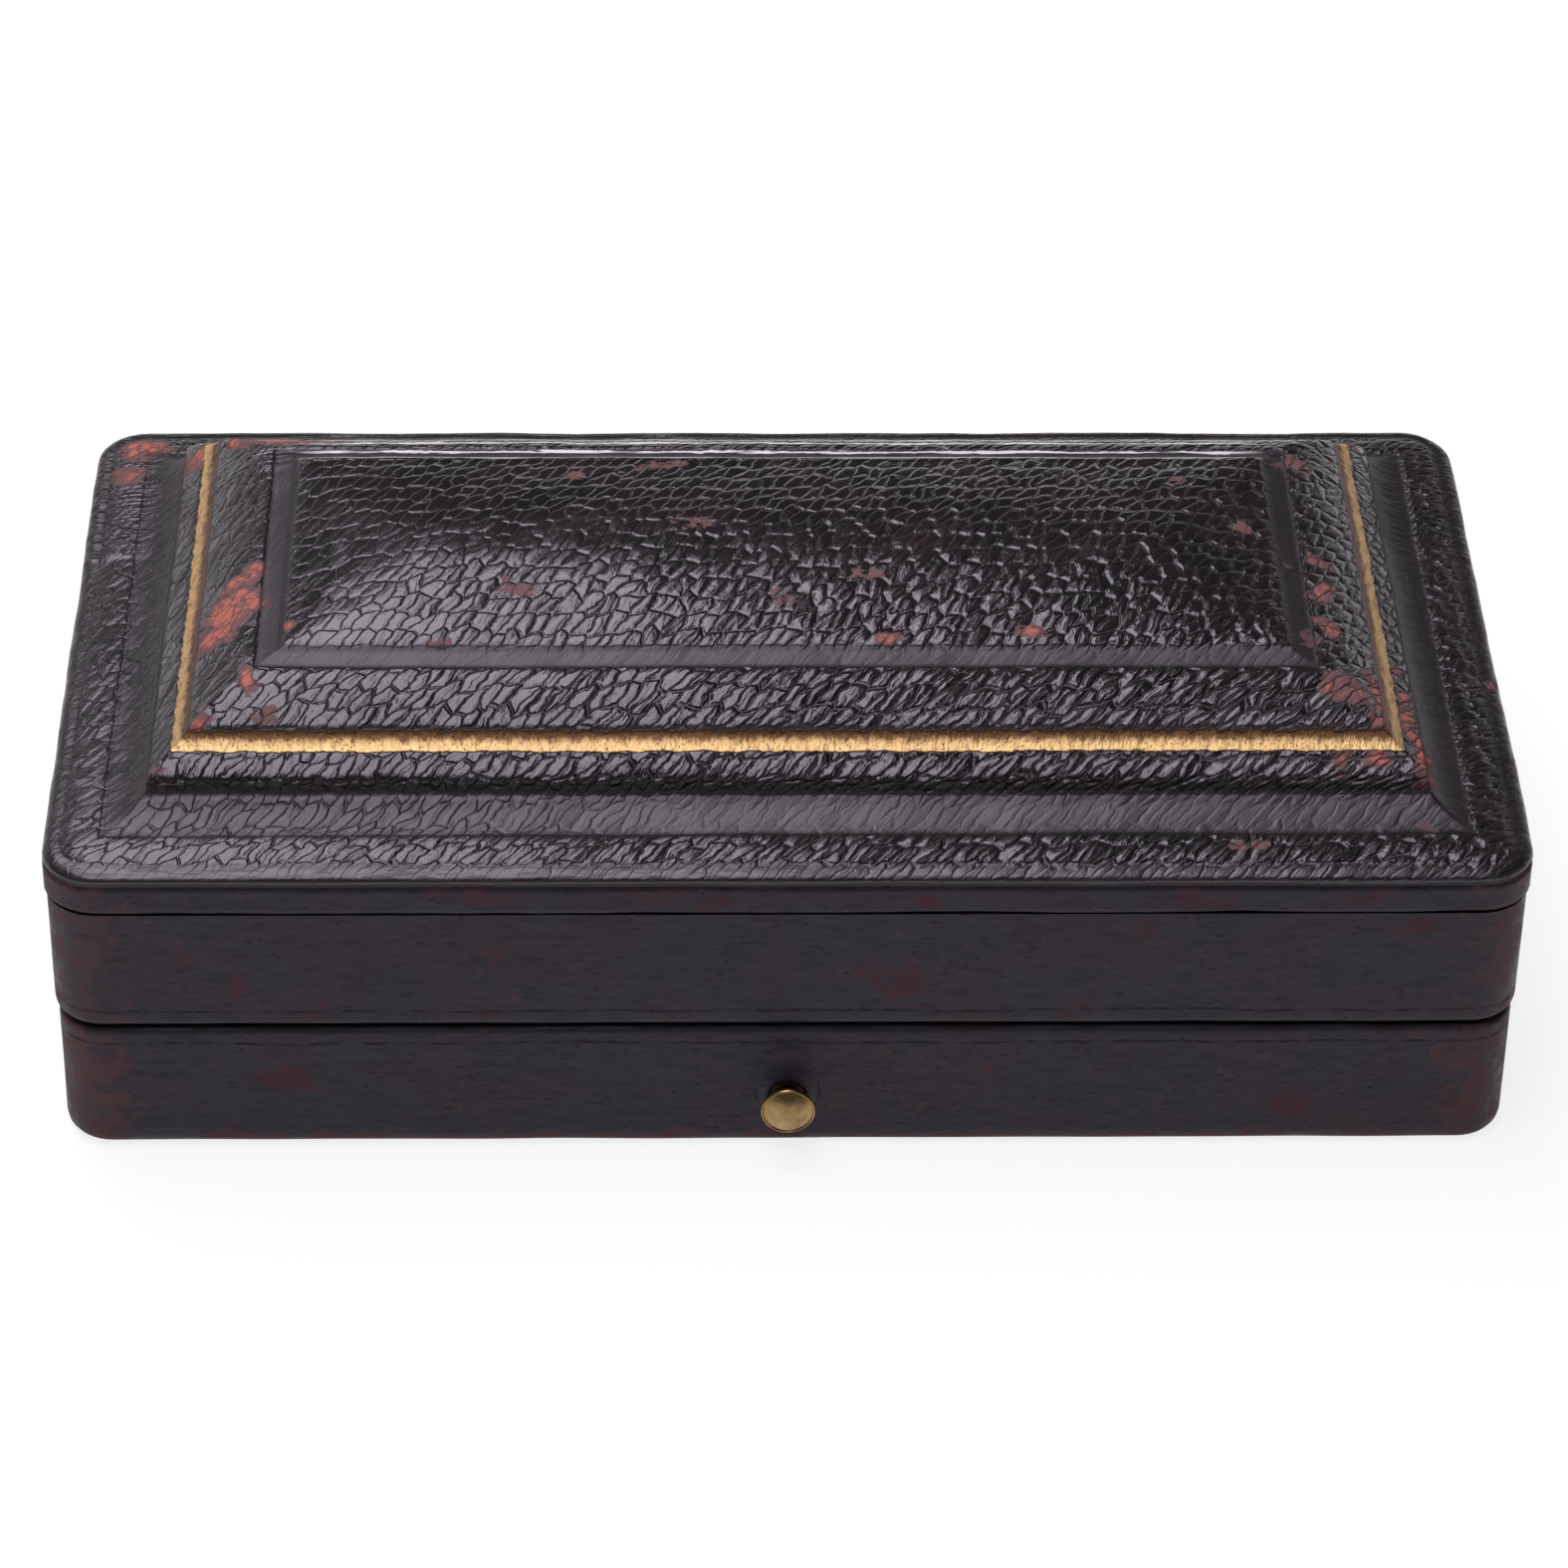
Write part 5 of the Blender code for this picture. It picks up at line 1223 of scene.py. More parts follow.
@dataclass
class WallLeather:
    """The polished leather round the walls of the lid and of the base, turned in at the seam."""

    lid_half: tuple[float, float] = (50.8, 27.8)
    lid_corner: float = 3.6
    lid_low: float = 10.9
    lid_high: float = 20.6
    base_half: tuple[float, float] = (50.6, 27.6)
    base_corner: float = 3.4
    base_high: float = 10.6
    thickness: float = 0.5
    seam_round: float = 0.6
    bottom_round: float = 1.2
    tongue: tuple[float, float, float] = (0.42, 0.76, 0.7)
    turn_in: float = 6.0
    lid_flange: float = 4.1
    turn_high: float = 18.6
    turn_thickness: float = 0.13
    base_flange: float = 3.8
    hinge_half: float = 32.3
    hinge_y: float = 27.85
    hinge_z: float = 10.75
    hinge_room: float = 1.6
    hinge_face: float = 25.9
    # Rooms for the catch, from corner to corner, and the hole for the button's shank.
    strike_room: Room = ((-5.8, -26.4, 10.0), (5.8, -23.0, 13.15))
    spring_room: Room = ((-1.8, -25.2, 9.6), (1.8, -23.0, 11.6))
    shank_hole: Room = ((0.0, -29.0, 5.0), (0.0, -25.0, 5.0))
    shank_room: float = 1.3
    lid_patches: tuple[Patch, ...] = rubbed_at(
        (-41.7, -27.8, 16.7, 1.5, 0.8), (-37.7, -27.8, 14.6, 1.8, 0.6),
        (-32.4, -27.8, 12.0, 2.2, 0.75), (-20.6, -27.8, 18.0, 2.6, 0.55),
        (7.3, -27.8, 14.9, 3.0, 0.9), (19.5, -27.8, 11.6, 2.6, 0.7),
        (24.2, -27.8, 19.4, 2.6, 0.6), (43.3, -27.8, 19.6, 1.9, 1.05),
        (-20.0, -27.8, 11.6, 3.0, 0.5), (50.8, -12.0, 15.0, 3.0, 0.7),
        (50.8, 10.0, 13.0, 2.4, 0.75), (-50.8, 6.0, 16.0, 3.4, 0.8),
        (-50.8, -14.0, 13.0, 2.4, 0.7), (-14.0, 27.8, 16.0, 3.4, 0.8),
        (20.0, 27.8, 14.0, 3.0, 0.8),
    )
    base_patches: tuple[Patch, ...] = rubbed_at(
        (-36.3, -27.6, 6.0, 1.5, 0.95), (-34.6, -27.6, 6.5, 1.8, 1.0),
        (-33.6, -27.6, 5.4, 1.4, 0.9), (-47.0, -27.0, 7.6, 2.8, 0.85),
        (-47.6, -27.0, 5.2, 2.4, 0.75), (34.8, -27.6, 3.9, 2.4, 0.8),
        (46.5, -27.0, 4.5, 2.6, 0.8), (15.0, -27.6, 7.0, 2.0, 0.5), (50.6, 4.0, 5.0, 3.0, 0.8),
        (-50.6, -6.0, 6.0, 3.0, 0.8), (8.0, 27.6, 4.0, 3.2, 0.8), (-30.0, 27.6, 5.0, 3.2, 0.8),
    )

    def wall_ring(self, half: tuple[float, float], corner: float, inset: float, z: float) -> Ring:
        """Gives the outline of a wall at an inset and a height."""
        return Ring(half[0] - inset, half[1] - inset, max(corner - inset, 0.05), z)

    def section(self, line: Sequence[tuple[float, float]], gap: float) -> Line:
        """Spaces a closed section's points, keeping its corners.

        Args:
            line: The corners as inset and height.
            gap: The most between points.

        Returns:
            The points, from the first to the first again.
        """
        points = [line[0]]
        for a, b in zip(line, line[1:]):
            points += spaced_line([a, b], gap)[1:]
        return points

    def build(self, finishes: Finishes) -> list[bpy.types.Object]:
        """Builds and dresses both walls.

        Args:
            finishes: The materials.

        Returns:
            The lid's and the base's pieces.
        """
        stations = stations_round(240, 130, 10)
        wall = self.thickness
        seam = quarter_turn(self.seam_round)
        low, high = self.lid_low, self.lid_high
        front, behind, rise = self.tongue
        lid_line = [(behind, high + rise), (front, high + rise), (front, high), (0.0, high)]
        lid_line += [(inset, low + drop) for inset, drop in seam]
        turned = self.lid_flange - self.turn_thickness
        lid_line = self.section([*lid_line, (self.lid_flange, low)], 0.45)
        lid_line += [(self.lid_flange, z) for z in (low + wall, 13.0, self.turn_high)]
        lid_line += [(turned, self.turn_high), (turned, low + wall), (behind, low + wall)]
        lid_line.append(lid_line[0])
        lid_rings = [self.wall_ring(self.lid_half, self.lid_corner, *p) for p in lid_line]
        bm = drawn_skin(lid_rings, stations)
        ripple(bm, 0.05, 7.0, 5.7)
        keep_within(bm, self.lid_half, low, high + rise)
        room = self.hinge_room
        notch = [
            (-self.hinge_half, self.hinge_face, self.hinge_z - room),
            (self.hinge_half, self.hinge_y + room, self.hinge_z + room),
        ]
        bm = cut_away(bm, [box_cutter(*notch), box_cutter(*self.strike_room)])
        lid = finished(
            bm, "lid_wall_leather", finishes.walls, Body.LID, ["lid_side_leather"], 60
        )
        top = self.base_high
        base_line = [(self.turn_in, wall), (self.turn_in, 0.0)]
        base_line += [(inset, drop) for inset, drop in reversed(quarter_turn(self.bottom_round))]
        base_line += [(inset, top - drop) for inset, drop in seam]
        base_line += [
            (self.base_flange, top),
            (self.base_flange, top - wall),
            (wall, top - wall),
            (wall, wall),
            (self.turn_in, wall),
        ]
        base_rings = [
            self.wall_ring(self.base_half, self.base_corner, *p)
            for p in self.section(base_line, 0.45)
        ]
        bm = drawn_skin(base_rings, stations)
        ripple(bm, 0.05, 7.0, 1.3)
        keep_within(bm, self.base_half, 0.0, top)
        cutters = [
            box_cutter(*notch),
            box_cutter(*self.spring_room),
            rod_cutter(self.shank_room, *self.shank_hole),
        ]
        base = finished(
            cut_away(bm, cutters),
            "base_wall_leather",
            finishes.walls,
            Body.BASE,
            ["base_leather_cover"],
            60,
        )
        spread_patches(lid, "wear", self.lid_patches)
        spread_patches(base, "wear", self.base_patches)
        rub_corners(lid, self.lid_half, 0.7)
        rub_corners(base, self.base_half, 0.8)
        return [lid, base]


# ------------------------------------------------------------------------ brasswork


@dataclass
class PushButton:
    """The turned button on its shank, and the leather boss round its bush."""

    height: float = 5.0
    face_y: float = -30.6
    radius: float = 1.9
    rim: float = 0.2
    head: float = 0.95
    crown: float = 0.6
    shank: float = 0.7
    shank_end: float = -25.2
    boss_top: float = -28.36
    boss_foot: float = -27.52
    boss_hole: float = 1.32
    boss_reach: float = 3.3

    def turn(self, profile: Sequence[tuple[float, float]], steps: int) -> bmesh.types.BMesh:
        """Turns a profile of radius and Y round the button's axis.

        Args:
            profile: The radii and places along Y, in mm.
            steps: Steps round the axis.

        Returns:
            The turned mesh.
        """
        bm = bmesh.new()
        verts = [bm.verts.new(Vector((r, y, self.height)) * MM) for r, y in profile]
        for a, b in zip(verts, verts[1:]):
            bm.edges.new((a, b))
        bmesh.ops.spin(
            bm,
            geom=list(bm.verts) + list(bm.edges),
            cent=Vector((0.0, 0.0, self.height)) * MM,
            axis=(0.0, 1.0, 0.0),
            angle=math.tau,
            steps=steps,
            use_merge=True,
        )
        bmesh.ops.remove_doubles(bm, verts=bm.verts, dist=TINY)
        bmesh.ops.recalc_face_normals(bm, faces=bm.faces)
        return bm

    def build(self, finishes: Finishes) -> list[bpy.types.Object]:
        """Builds the button and the boss.

        Args:
            finishes: The materials.

        Returns:
            The button and the boss.
        """
        face = self.face_y
        back = face + self.head
        inner = self.radius - self.rim
        edge, rim, shank, end = face + self.crown, self.radius, self.shank, self.shank_end
        shares = (0.0, 0.2, 0.4, 0.6, 0.8, 0.92, 1.0)
        profile = [(inner * share, face + self.crown * share**2.0) for share in shares]
        profile += [(inner + 0.03, edge + 0.02), (inner + 0.07, edge - 0.05)]
        profile += [(inner + 0.13, edge - 0.04), (rim - 0.02, edge + 0.04), (rim, edge + 0.14)]
        profile += [(rim, back - 0.1), (rim - 0.08, back), (shank + 0.06, back)]
        profile += [(shank, back + 0.06), (shank, end - 0.08), (shank - 0.08, end), (0.0, end)]
        bm = self.turn(profile, 72)
        dent = Vector((0.5, face, self.height - 0.5)) * MM
        for vert in bm.verts:
            if vert.co.y < edge * MM:
                near = 1 - eased((vert.co - dent).length / MM, 0.2, 1.1)
                vert.co.y += 0.07 * MM * near
        ripple(bm, 0.03, 0.9, 2.2)
        button = finished(
            bm, "brass_push_button", finishes.button, Body.BUTTON, ["push_button"], 50
        )

        top, foot, hole, reach = self.boss_top, self.boss_foot, self.boss_hole, self.boss_reach
        profile = [(hole, -27.0), (hole, top + 0.12), (hole + 0.14, top)]
        for share in (i / 12 for i in range(13)):
            slope = eased(share, -0.12, 1.0)
            profile.append((mixed(hole + 0.3, reach, share), mixed(top, foot, slope)))
        profile += [(reach, -27.2), (hole, -27.0)]
        bm = self.turn(profile, 72)
        for vert in bm.verts:
            x, z = vert.co.x / MM, vert.co.z / MM - self.height
            outer = eased(math.hypot(x, z), hole + 0.2, reach)
            vert.co.x = x * (1 - 0.2 * outer) * MM
            vert.co.z = (self.height + z * (1 + (0.26 if z > 0 else 0.0) * outer)) * MM
        ripple(bm, 0.09, 1.5, 6.6)
        boss = finished(bm, "button_leather_boss", finishes.walls, Body.BASE, [], 60)
        spread_patches(boss, "wear", [])
        spread_patches(boss, "rub", [])
        return [button, boss]


@dataclass
class Brasswork:
    """The catch, the strike plate, the pins and the hinge, taken from the solids and eased."""

    edge: float = 0.06
    sharp: float = 35.0
    base_nodes: tuple[str, ...] = (
        "button_bush", "spring_pin_1", "spring_pin_2", "hinge_base_leaf", "hinge_base_nail_1",
        "hinge_base_nail_2", "hinge_base_nail_3", "hinge_pin",
    )
    lid_nodes: tuple[str, ...] = (
        "strike_plate", "strike_pin_left", "strike_pin_right", "hinge_lid_leaf", "hinge_lid_nail_1",
        "hinge_lid_nail_2", "hinge_lid_nail_3",
    )

    def eased_copy(self, node: bpy.types.Object) -> bmesh.types.BMesh:
        """Copies a solid, joins its triangles and eases its edges.

        Args:
            node: The CAD node.

        Returns:
            The copy.
        """
        bm = bmesh.new()
        bm.from_mesh(node.data)
        bmesh.ops.remove_doubles(bm, verts=bm.verts, dist=TINY)
        bmesh.ops.dissolve_limit(
            bm, angle_limit=math.radians(1.0), verts=bm.verts, edges=bm.edges
        )
        least = math.radians(40)
        edges = [e for e in bm.edges if len(e.link_faces) == 2 and e.calc_face_angle(0.0) > least]
        round_off(bm, edges, self.edge, 2, clamp=True)
        return bm

    def build(self, frame: dict[str, Any], finishes: Finishes) -> list[bpy.types.Object]:
        """Builds every brass piece but the button.

        Args:
            frame: The loaded frame.
            finishes: The materials.

        Returns:
            The pieces.
        """
        made = []
        for body, nodes in ((Body.BASE, self.base_nodes), (Body.LID, self.lid_nodes)):
            for node in nodes:
                bm = self.eased_copy(frame["nodes"][node])
                brass = finishes.bush if node == "button_bush" else finishes.rolled
                made.append(finished(bm, f"brass_{node}", brass, body, [node], self.sharp))
        made.append(self.spring(frame, finishes))
        return made

    def spring(self, frame: dict[str, Any], finishes: Finishes) -> bpy.types.Object:
        """Builds the catch spring, which bends from its pins to the button's shank.

        Args:
            frame: The loaded frame.
            finishes: The materials.

        Returns:
            The piece.
        """
        bm = self.eased_copy(frame["nodes"]["catch_spring"])
        for x in range(-23, 2):
            slice_through(bm, Vector((x * MM, 0.0, 0.0)), (1, 0, 0))
        name, brass = "brass_catch_spring", finishes.rolled
        piece = finished(bm, name, brass, None, ["catch_spring"], self.sharp)
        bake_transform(piece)
        return piece


# ------------------------------------------------------------------------- linings


@dataclass
class LidLining:
    """The satin cushion under the lid, puffed as cloth, and the satin strips round it."""

    half: tuple[float, float] = (45.5, 22.5)
    top: float = 19.0
    bottom: float = 15.5
    pucker: float = 0.32
    # The cloth is ten times its size, because the simulation is unsteady on small pieces.
    scale_up: float = 10.0
    frames: int = 20
    voxel: float = 0.0085
    glued_depth: float = 0.009
    pressure: float = 4.0
    most_puff: float = 0.012
    strip_low: float = 13.4
    strip_high: float = 19.0
    strip_outer: tuple[float, float] = (46.6, 23.6)
    strip_inner: tuple[float, float] = (45.8, 22.8)

    def cushion(self) -> bmesh.types.BMesh:
        """Starts the cushion: a slab with drawn-in sides, a little smaller than the pad."""
        half, top, bottom = self.half, self.top, self.bottom
        line = [(3.0, top - 0.1), (0.5, top - 0.1), (0.1, top - 0.5), (0.0, top - 1.0)]
        line += [(0.3, top - 1.7), (1.4, bottom + 1.0), (3.6, bottom + 0.75), (8.5, bottom + 0.6)]
        line = [(i, top - 0.1) for i in (20.0, 15.0, 10.0, 6.0)] + line
        line += [(i, bottom + 0.55) for i in (13.0, 17.0, 20.5)]
        rings = [Ring(half[0] - half[1] + 1.0, 0.0, 0.0, top - 0.1)]
        rings += [Ring(half[0] - i, half[1] - i, 1.2, z) for i, z in line]
        rings.append(Ring(half[0] - half[1] + 1.0, 0.0, 0.0, bottom + 0.55))
        return drawn_skin(rings, stations_round(90, 44, 4))

    def puff(self, piece: bpy.types.Object) -> None:
        """Blows the cushion up as cloth and keeps how it lies.

        Args:
            piece: The cushion, whose mesh is replaced.
        """
        scene = bpy.context.scene
        grow = self.scale_up
        piece.data.transform(Matrix.Scale(grow, 4))
        remesh = piece.modifiers.new("remesh", "REMESH")
        remesh.mode = "VOXEL"
        remesh.voxel_size = self.voxel
        start = evaluated(piece)
        piece.modifiers.clear()
        piece.data = start
        rest = np.array([v.co for v in start.vertices], float)
        group = piece.vertex_groups.new(name="glued")
        top = self.top * MM * grow
        for vert in start.vertices:
            if vert.co.z > top - self.glued_depth:
                group.add([vert.index], 1.0, "REPLACE")
        cloth = piece.modifiers.new("cloth", "CLOTH")
        cloth.settings.quality = 6
        cloth.settings.mass = 0.15
        cloth.settings.tension_stiffness = 12
        cloth.settings.compression_stiffness = 12
        cloth.settings.bending_stiffness = 0.4
        cloth.settings.shrink_min = -0.04
        cloth.settings.use_pressure = True
        cloth.settings.uniform_pressure_force = self.pressure
        cloth.settings.effector_weights.gravity = 0.0
        cloth.settings.vertex_group_mass = "glued"
        cloth.point_cache.frame_start, cloth.point_cache.frame_end = 1, self.frames
        for frame in range(1, self.frames + 1):
            scene.frame_set(frame)
        blown = evaluated(piece)
        scene.frame_set(1)
        piece.modifiers.clear()
        piece.vertex_groups.clear()
        moved = np.array([v.co for v in blown.vertices], float) - rest
        length = np.linalg.norm(moved, axis=1)
        moved *= np.minimum(1.0, self.most_puff / np.maximum(length, 1e-9))[:, None]
        blown.vertices.foreach_set("co", (rest + moved).astype(np.float32).ravel())
        piece.data = blown
        piece.data.transform(Matrix.Scale(1 / grow, 4))

    def gather(self, mesh: bpy.types.Mesh) -> None:
        """Draws small tucks in along the edge and keeps the pad inside its place.

        Args:
            mesh: The pad's mesh.
        """
        half_x, half_y = self.half
        for vert in mesh.vertices:
            x, y, z = vert.co / MM
            to_edge = min(half_x - abs(x), half_y - abs(y))
            along = x if half_y - abs(y) < half_x - abs(x) else y
            depth = 1 - eased(to_edge, 0.6, 6.5)
            below = 1 - eased(z, self.top - 1.2, self.top - 0.5)
            wave = noise.noise(Vector((along / 1.5, 3.0, to_edge / 9.0)))
            z += self.pucker * depth * below * (wave + 0.25)
            vert.co = boxed((x, y, z), self.half, self.bottom, self.top)

    def build(self, finishes: Finishes) -> list[bpy.types.Object]:
        """Builds the cushion and the strips.

        Args:
            finishes: The materials.

        Returns:
            The pieces.
        """
        satin, stands_for = finishes.satin, ["lid_satin_pad"]
        pad = finished(
            self.cushion(), "satin_lid_cushion", satin, Body.LID, stands_for
        )
        self.puff(pad)
        pad.data.materials.clear()
        pad.data.materials.append(satin)
        smooth = pad.modifiers.new("smooth", "SUBSURF")
        smooth.levels = smooth.render_levels = 1
        pad.data = evaluated(pad)
        pad.modifiers.clear()
        self.gather(pad.data)
        pad.data.shade_smooth()
        return [pad, *(self.strip(side, finishes) for side in Side)]

    def strip(self, side: Side, finishes: Finishes) -> bpy.types.Object:
        """Builds one satin-covered strip with a soft edge.

        Args:
            side: The wall that it lies on.
            finishes: The materials.

        Returns:
            The piece.
        """
        low, high = self.strip_low, self.strip_high
        size, middle, long_axis = strip_along(side, self.strip_outer, self.strip_inner, low, high)
        thin_axis = 1 - long_axis
        bm = covered_strip(size, middle, 0.32, long_axis)
        pull = Vector((*side.value, 0.0))
        for vert in bm.verts:
            if (vert.co / MM - Vector(middle)).dot(pull) < -size[thin_axis] * 0.2:
                along = vert.co[long_axis] / MM
                wave = noise.noise(Vector((along / 3.2, middle[thin_axis], vert.co.z / MM / 2.5)))
                vert.co += pull * (0.1 * MM * abs(wave))
        name = side.name.lower()
        piece = finished(
            bm, f"satin_lid_strip_{name}", finishes.satin, Body.LID, [f"lid_lining_{name}"]
        )
        return piece


def strip_along(
    side: Side, outer: Sequence[float], inner: Sequence[float], low: float, high: float
) -> tuple[list[float], list[float], int]:
    """Works out a strip that lies along one wall.

    Args:
        side: The wall.
        outer: How far out the four strips reach, along X and along Y, in mm.
        inner: Where their inner faces lie.
        low: The strip's lower edge.
        high: Its upper edge.

    Returns:
        Its sizes, its middle, and 0 where it runs along X or 1 along Y.
    """
    out = side.value
    long_axis = 0 if out[0] == 0 else 1
    thin_axis = 1 - long_axis
    reach = outer[0] if long_axis == 0 else inner[1] - 0.3
    near, far = inner[thin_axis], outer[thin_axis]
    size, middle = [0.0, 0.0, high - low], [0.0, 0.0, (high + low) / 2]
    size[long_axis], size[thin_axis] = 2 * reach, far - near
    middle[thin_axis] = (near + far) / 2 * out[thin_axis]
    return size, middle, long_axis


def covered_strip(
    size: Sequence[float], middle: Sequence[float], radius: float, long_axis: int
) -> bmesh.types.BMesh:
    """Makes a strip of card covered in cloth, with round edges and points along its length.

    Args:
        size: Its three sizes, in mm.
        middle: Its middle, in mm.
        radius: The radius of its edges.
        long_axis: 0 where it runs along X, and 1 along Y.

    Returns:
        The mesh.
    """
    bm = bmesh.new()
    bmesh.ops.create_cube(bm, size=1.0)
    bmesh.ops.scale(bm, vec=[s * MM for s in size], verts=bm.verts)
    bmesh.ops.translate(bm, vec=Vector(middle) * MM, verts=bm.verts)
    round_off(bm, bm.edges[:], radius, 4)
    along = Vector((1, 0, 0)) if long_axis == 0 else Vector((0, 1, 0))
    cuts = int(size[long_axis] / 0.9)
    first = Vector(middle) - along * size[long_axis] / 2
    for i in range(1, cuts):
        slice_through(bm, (first + along * size[long_axis] * i / cuts) * MM, along)
    for i in range(1, 6):
        z = middle[2] - size[2] / 2 + size[2] * i / 6
        slice_through(bm, Vector((0.0, 0.0, z)) * MM, (0, 0, 1))
    return bm


@dataclass
class BaseLining:
    """The velvet of the base: the raised lip, the padded frame and the floor of its recess."""

    lip_outer: tuple[float, float] = (46.5, 23.5)
    lip_inner: tuple[float, float] = (45.3, 22.3)
    lip_low: float = 3.3
    lip_high: float = 13.0
    notch: Room = ((-2.1, -24.5, 8.6), (2.1, -21.0, 14.0))
    frame_half: tuple[float, float] = (45.0, 22.0)
    frame_low: float = 5.5
    frame_high: float = 9.4
    recess_half: tuple[float, float] = (38.0, 10.0)
    recess_corner: float = 5.0
    floor_low: float = 4.4
    floor_high: float = 5.2

    def build(self, finishes: Finishes) -> list[bpy.types.Object]:
        """Builds the lip, the frame and the floor.

        Args:
            finishes: The materials.

        Returns:
            The pieces.
        """
        lips = [self.lip(side, finishes) for side in Side]
        return [*lips, self.frame(finishes), self.floor(finishes)]

    def lip(self, side: Side, finishes: Finishes) -> bpy.types.Object:
        """Builds one strip of the lip, with the notch for the catch in the front one.

        Args:
            side: The wall that it stands inside.
            finishes: The materials.

        Returns:
            The piece.
        """
        low, high = self.lip_low, self.lip_high
        size, middle, long_axis = strip_along(side, self.lip_outer, self.lip_inner, low, high)
        bm = covered_strip(size, middle, 0.42, long_axis)
        if side is Side.FRONT:
            bm = cut_away(bm, [box_cutter(*self.notch)])
        name = side.name.lower()
        return finished(
            bm, f"velvet_lip_{name}", finishes.velvet, Body.BASE, [f"lip_{name}"], 50
        )

    def frame(self, finishes: Finishes) -> bpy.types.Object:
        """Builds the padded frame: velvet over wadding, rolled over into the recess.

        Args:
            finishes: The materials.

        Returns:
            The piece.
        """
        outer, inner = self.frame_half, self.recess_half
        low, high = self.frame_low, self.frame_high
        rings = [Ring(inner[0], inner[1], self.recess_corner, low), Ring(*outer, 1.0, low)]
        rings += [Ring(*outer, 1.0, z) for z in (6.3, 7.1, 7.9)]
        steps = 22
        for i in range(steps + 1):
            share = i / steps
            turn = share * math.pi
            rise = 0.75 * min(1.0, (math.sin(turn) * 1.9)) ** 0.6 + 0.25 * math.sin(turn)
            rings.append(
                Ring(
                    mixed(outer[0] - 0.02, inner[0] + 0.3, share),
                    mixed(outer[1] - 0.02, inner[1] + 0.3, share),
                    mixed(1.0, self.recess_corner + 0.3, share),
                    mixed(8.2, high, rise),
                )
            )
        rings += [Ring(inner[0], inner[1], self.recess_corner, z) for z in (7.8, 7.1, 6.3, low)]
        bm = drawn_skin(rings, stations_round(150, 76, 10))
        ripple(bm, 0.12, 5.0, 4.4)
        piece = finished(
            bm, "velvet_insert_frame", finishes.velvet, Body.BASE, ["insert_frame"]
        )
        return piece

    def floor(self, finishes: Finishes) -> bpy.types.Object:
        """Builds the covered card that is the floor of the recess.

        Args:
            finishes: The materials.

        Returns:
            The piece.
        """
        half = self.frame_half
        size = (2 * half[0], 2 * half[1], self.floor_high - self.floor_low)
        middle = (0.0, 0.0, (self.floor_high + self.floor_low) / 2)
        bm = covered_strip(size, middle, 0.3, 0)
        return finished(
            bm, "velvet_recess_floor", finishes.velvet, Body.BASE, ["recess_floor"], 50
        )


@dataclass
class Carcass:
    """The wood, card and paper of the box, which keep the shapes of their solids."""

    wood: tuple[str, ...] = (
        "base_bottom_board", "base_front_rail", "base_back_rail", "base_left_rail",
        "base_right_rail", "lid_top_board", "lid_front_rail", "lid_back_rail", "lid_left_rail",
        "lid_right_rail",
    )
    card: tuple[str, ...] = ("insert_card", "lid_pad_card")
    paper: tuple[str, ...] = ("base_underside_sheet",)

    def dress(self, frame: dict[str, Any], finishes: Finishes) -> None:
        """Gives each solid its material.

        Args:
            frame: The loaded frame.
            finishes: The materials.
        """
        stuffs = (finishes.wood, finishes.card, finishes.paper)
        for names, material in zip((self.wood, self.card, self.paper), stuffs):
            for name in names:
                for slot in frame["nodes"][name].material_slots:
                    slot.material = material
                LOG.info("%s: %s", name, material.name)


# -------------------------------------------------------------------------- studio


